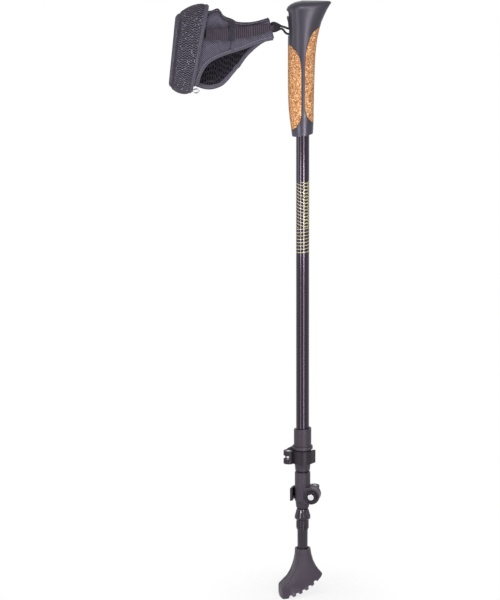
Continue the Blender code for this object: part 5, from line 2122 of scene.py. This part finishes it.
@dataclass
class Studio:
    """Pale floor, soft lamps and the camera of the photograph."""

    camera_at: Point = (-0.056, -3.5416, 0.6470)
    pitch: float = math.radians(14)
    roll: float = math.radians(-0.2)
    lens: float = 205.8
    sensor: float = 36.0
    floor_size: float = 24.0
    floor_colour: Colour = (0.66, 0.66, 0.66)
    fade: tuple[float, float] = (0.02, 0.12)
    least_clear: float = 0.80
    fill: float = 0.22
    lamps: tuple[Lamp, ...] = (
        Lamp("left_strip", -35.0, distance=0.46, foot=0.0, width=0.07, tall=1.30, power=1.45),
        Lamp("right_strip", 20.0, distance=0.46, foot=0.0, width=0.075, tall=1.30, power=3.9),
        Lamp("left_glint", -35.0, distance=0.455, foot=0.27, width=0.07, tall=0.12, power=0.50),
        Lamp("right_glint", 20.0, distance=0.455, foot=0.27, width=0.075, tall=0.12, power=0.76),
        Lamp("side_box", -80.0, distance=1.60, foot=0.0, width=0.80, tall=1.20, power=7.0),
        Lamp("top_box", -10.0, distance=1.50, foot=2.0, width=0.70, tall=0.50, power=15.0),
        Lamp("back_box", 150.0, distance=3.40, foot=2.2, width=2.00, tall=1.60, power=22.0),
    )

    def make_camera(self) -> None:
        """Set the camera of the photograph."""
        data = bpy.data.cameras.new("photo_camera")
        data.lens = self.lens
        data.sensor_width = self.sensor
        data.clip_end = 60.0
        camera = bpy.data.objects.new("photo_camera", data)
        camera.location = self.camera_at
        camera.rotation_euler = (math.pi / 2 - self.pitch, 0.0, 0.0)
        camera.rotation_euler.rotate_axis("Z", self.roll)
        bpy.context.scene.collection.objects.link(camera)
        bpy.context.scene.camera = camera

    def make_floor(self) -> None:
        """Pale floor that clears into the background, so that a pole drawn out longer shows below it."""
        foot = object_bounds()[0].z
        half = self.floor_size / 2
        points = [Vector((x * half, y * half, foot)) for x, y in ((-1, -1), (1, -1), (1, 1), (-1, 1))]
        floor = mesh_piece("studio_floor", points, [(0, 1, 2, 3)])
        surface = Surface("studio_floor")
        surface.shade(Base_Color=self.floor_colour, Roughness=0.9, Specular_IOR_Level=0.0)
        x, y, _ = surface.parts(surface.place(Place.OBJECT))
        away = surface.sums("SQRT", surface.sums("MULTIPLY_ADD", x, x, surface.sums("MULTIPLY", y, y)))
        faded = surface.between(away, *self.fade)
        clear = surface.sums("MULTIPLY_ADD", faded, 1.0 - self.least_clear, self.least_clear)
        mix = surface.add("ShaderNodeMixShader")
        surface.feed(mix.inputs[0], surface.sums("MULTIPLY", clear, surface.seen_directly()))
        surface.feed(mix.inputs[1], surface.shader.outputs[0])
        surface.feed(mix.inputs[2], surface.add("ShaderNodeBsdfTransparent").outputs[0])
        surface.feed(surface.tree.nodes["Material Output"].inputs["Surface"], mix.outputs[0])
        floor.data.materials.append(surface.material)
        floor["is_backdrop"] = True

    def make_world(self) -> None:
        """White background that lights the pole only softly."""
        world = bpy.data.worlds.new("studio_world")
        world.use_nodes = True
        bpy.context.scene.world = world
        wiring = Wiring(world.node_tree)
        strength = wiring.add("ShaderNodeMapRange")
        strength.inputs["To Min"].default_value = self.fill
        strength.inputs["To Max"].default_value = 1.0
        wiring.feed(strength.inputs["Value"], wiring.seen_directly())
        background = wiring.tree.nodes["Background"]
        background.inputs["Color"].default_value = (1.0, 1.0, 1.0, 1.0)
        wiring.feed(background.inputs["Strength"], strength.outputs["Result"])

    def build(self) -> None:
        """Set up the studio."""
        bpy.context.scene.view_settings.view_transform = "Standard"
        self.make_camera()
        self.make_floor()
        self.make_world()
        for lamp in self.lamps:
            lamp.light(*CAD_BOX)
        LOG.info("studio set")


def main() -> None:
    """Build the studio and every sub-assembly in order."""
    logging.basicConfig(level=logging.INFO, format="%(name)s: %(message)s")
    strap = (CordLoop(), StrapLeaves(), StrapBindings(), StrapWebbing(), WristBand())
    for part in (Studio(), Grip(), *strap, Shaft(), Paw()):
        part.build()


if __name__ == "__main__":
    main()
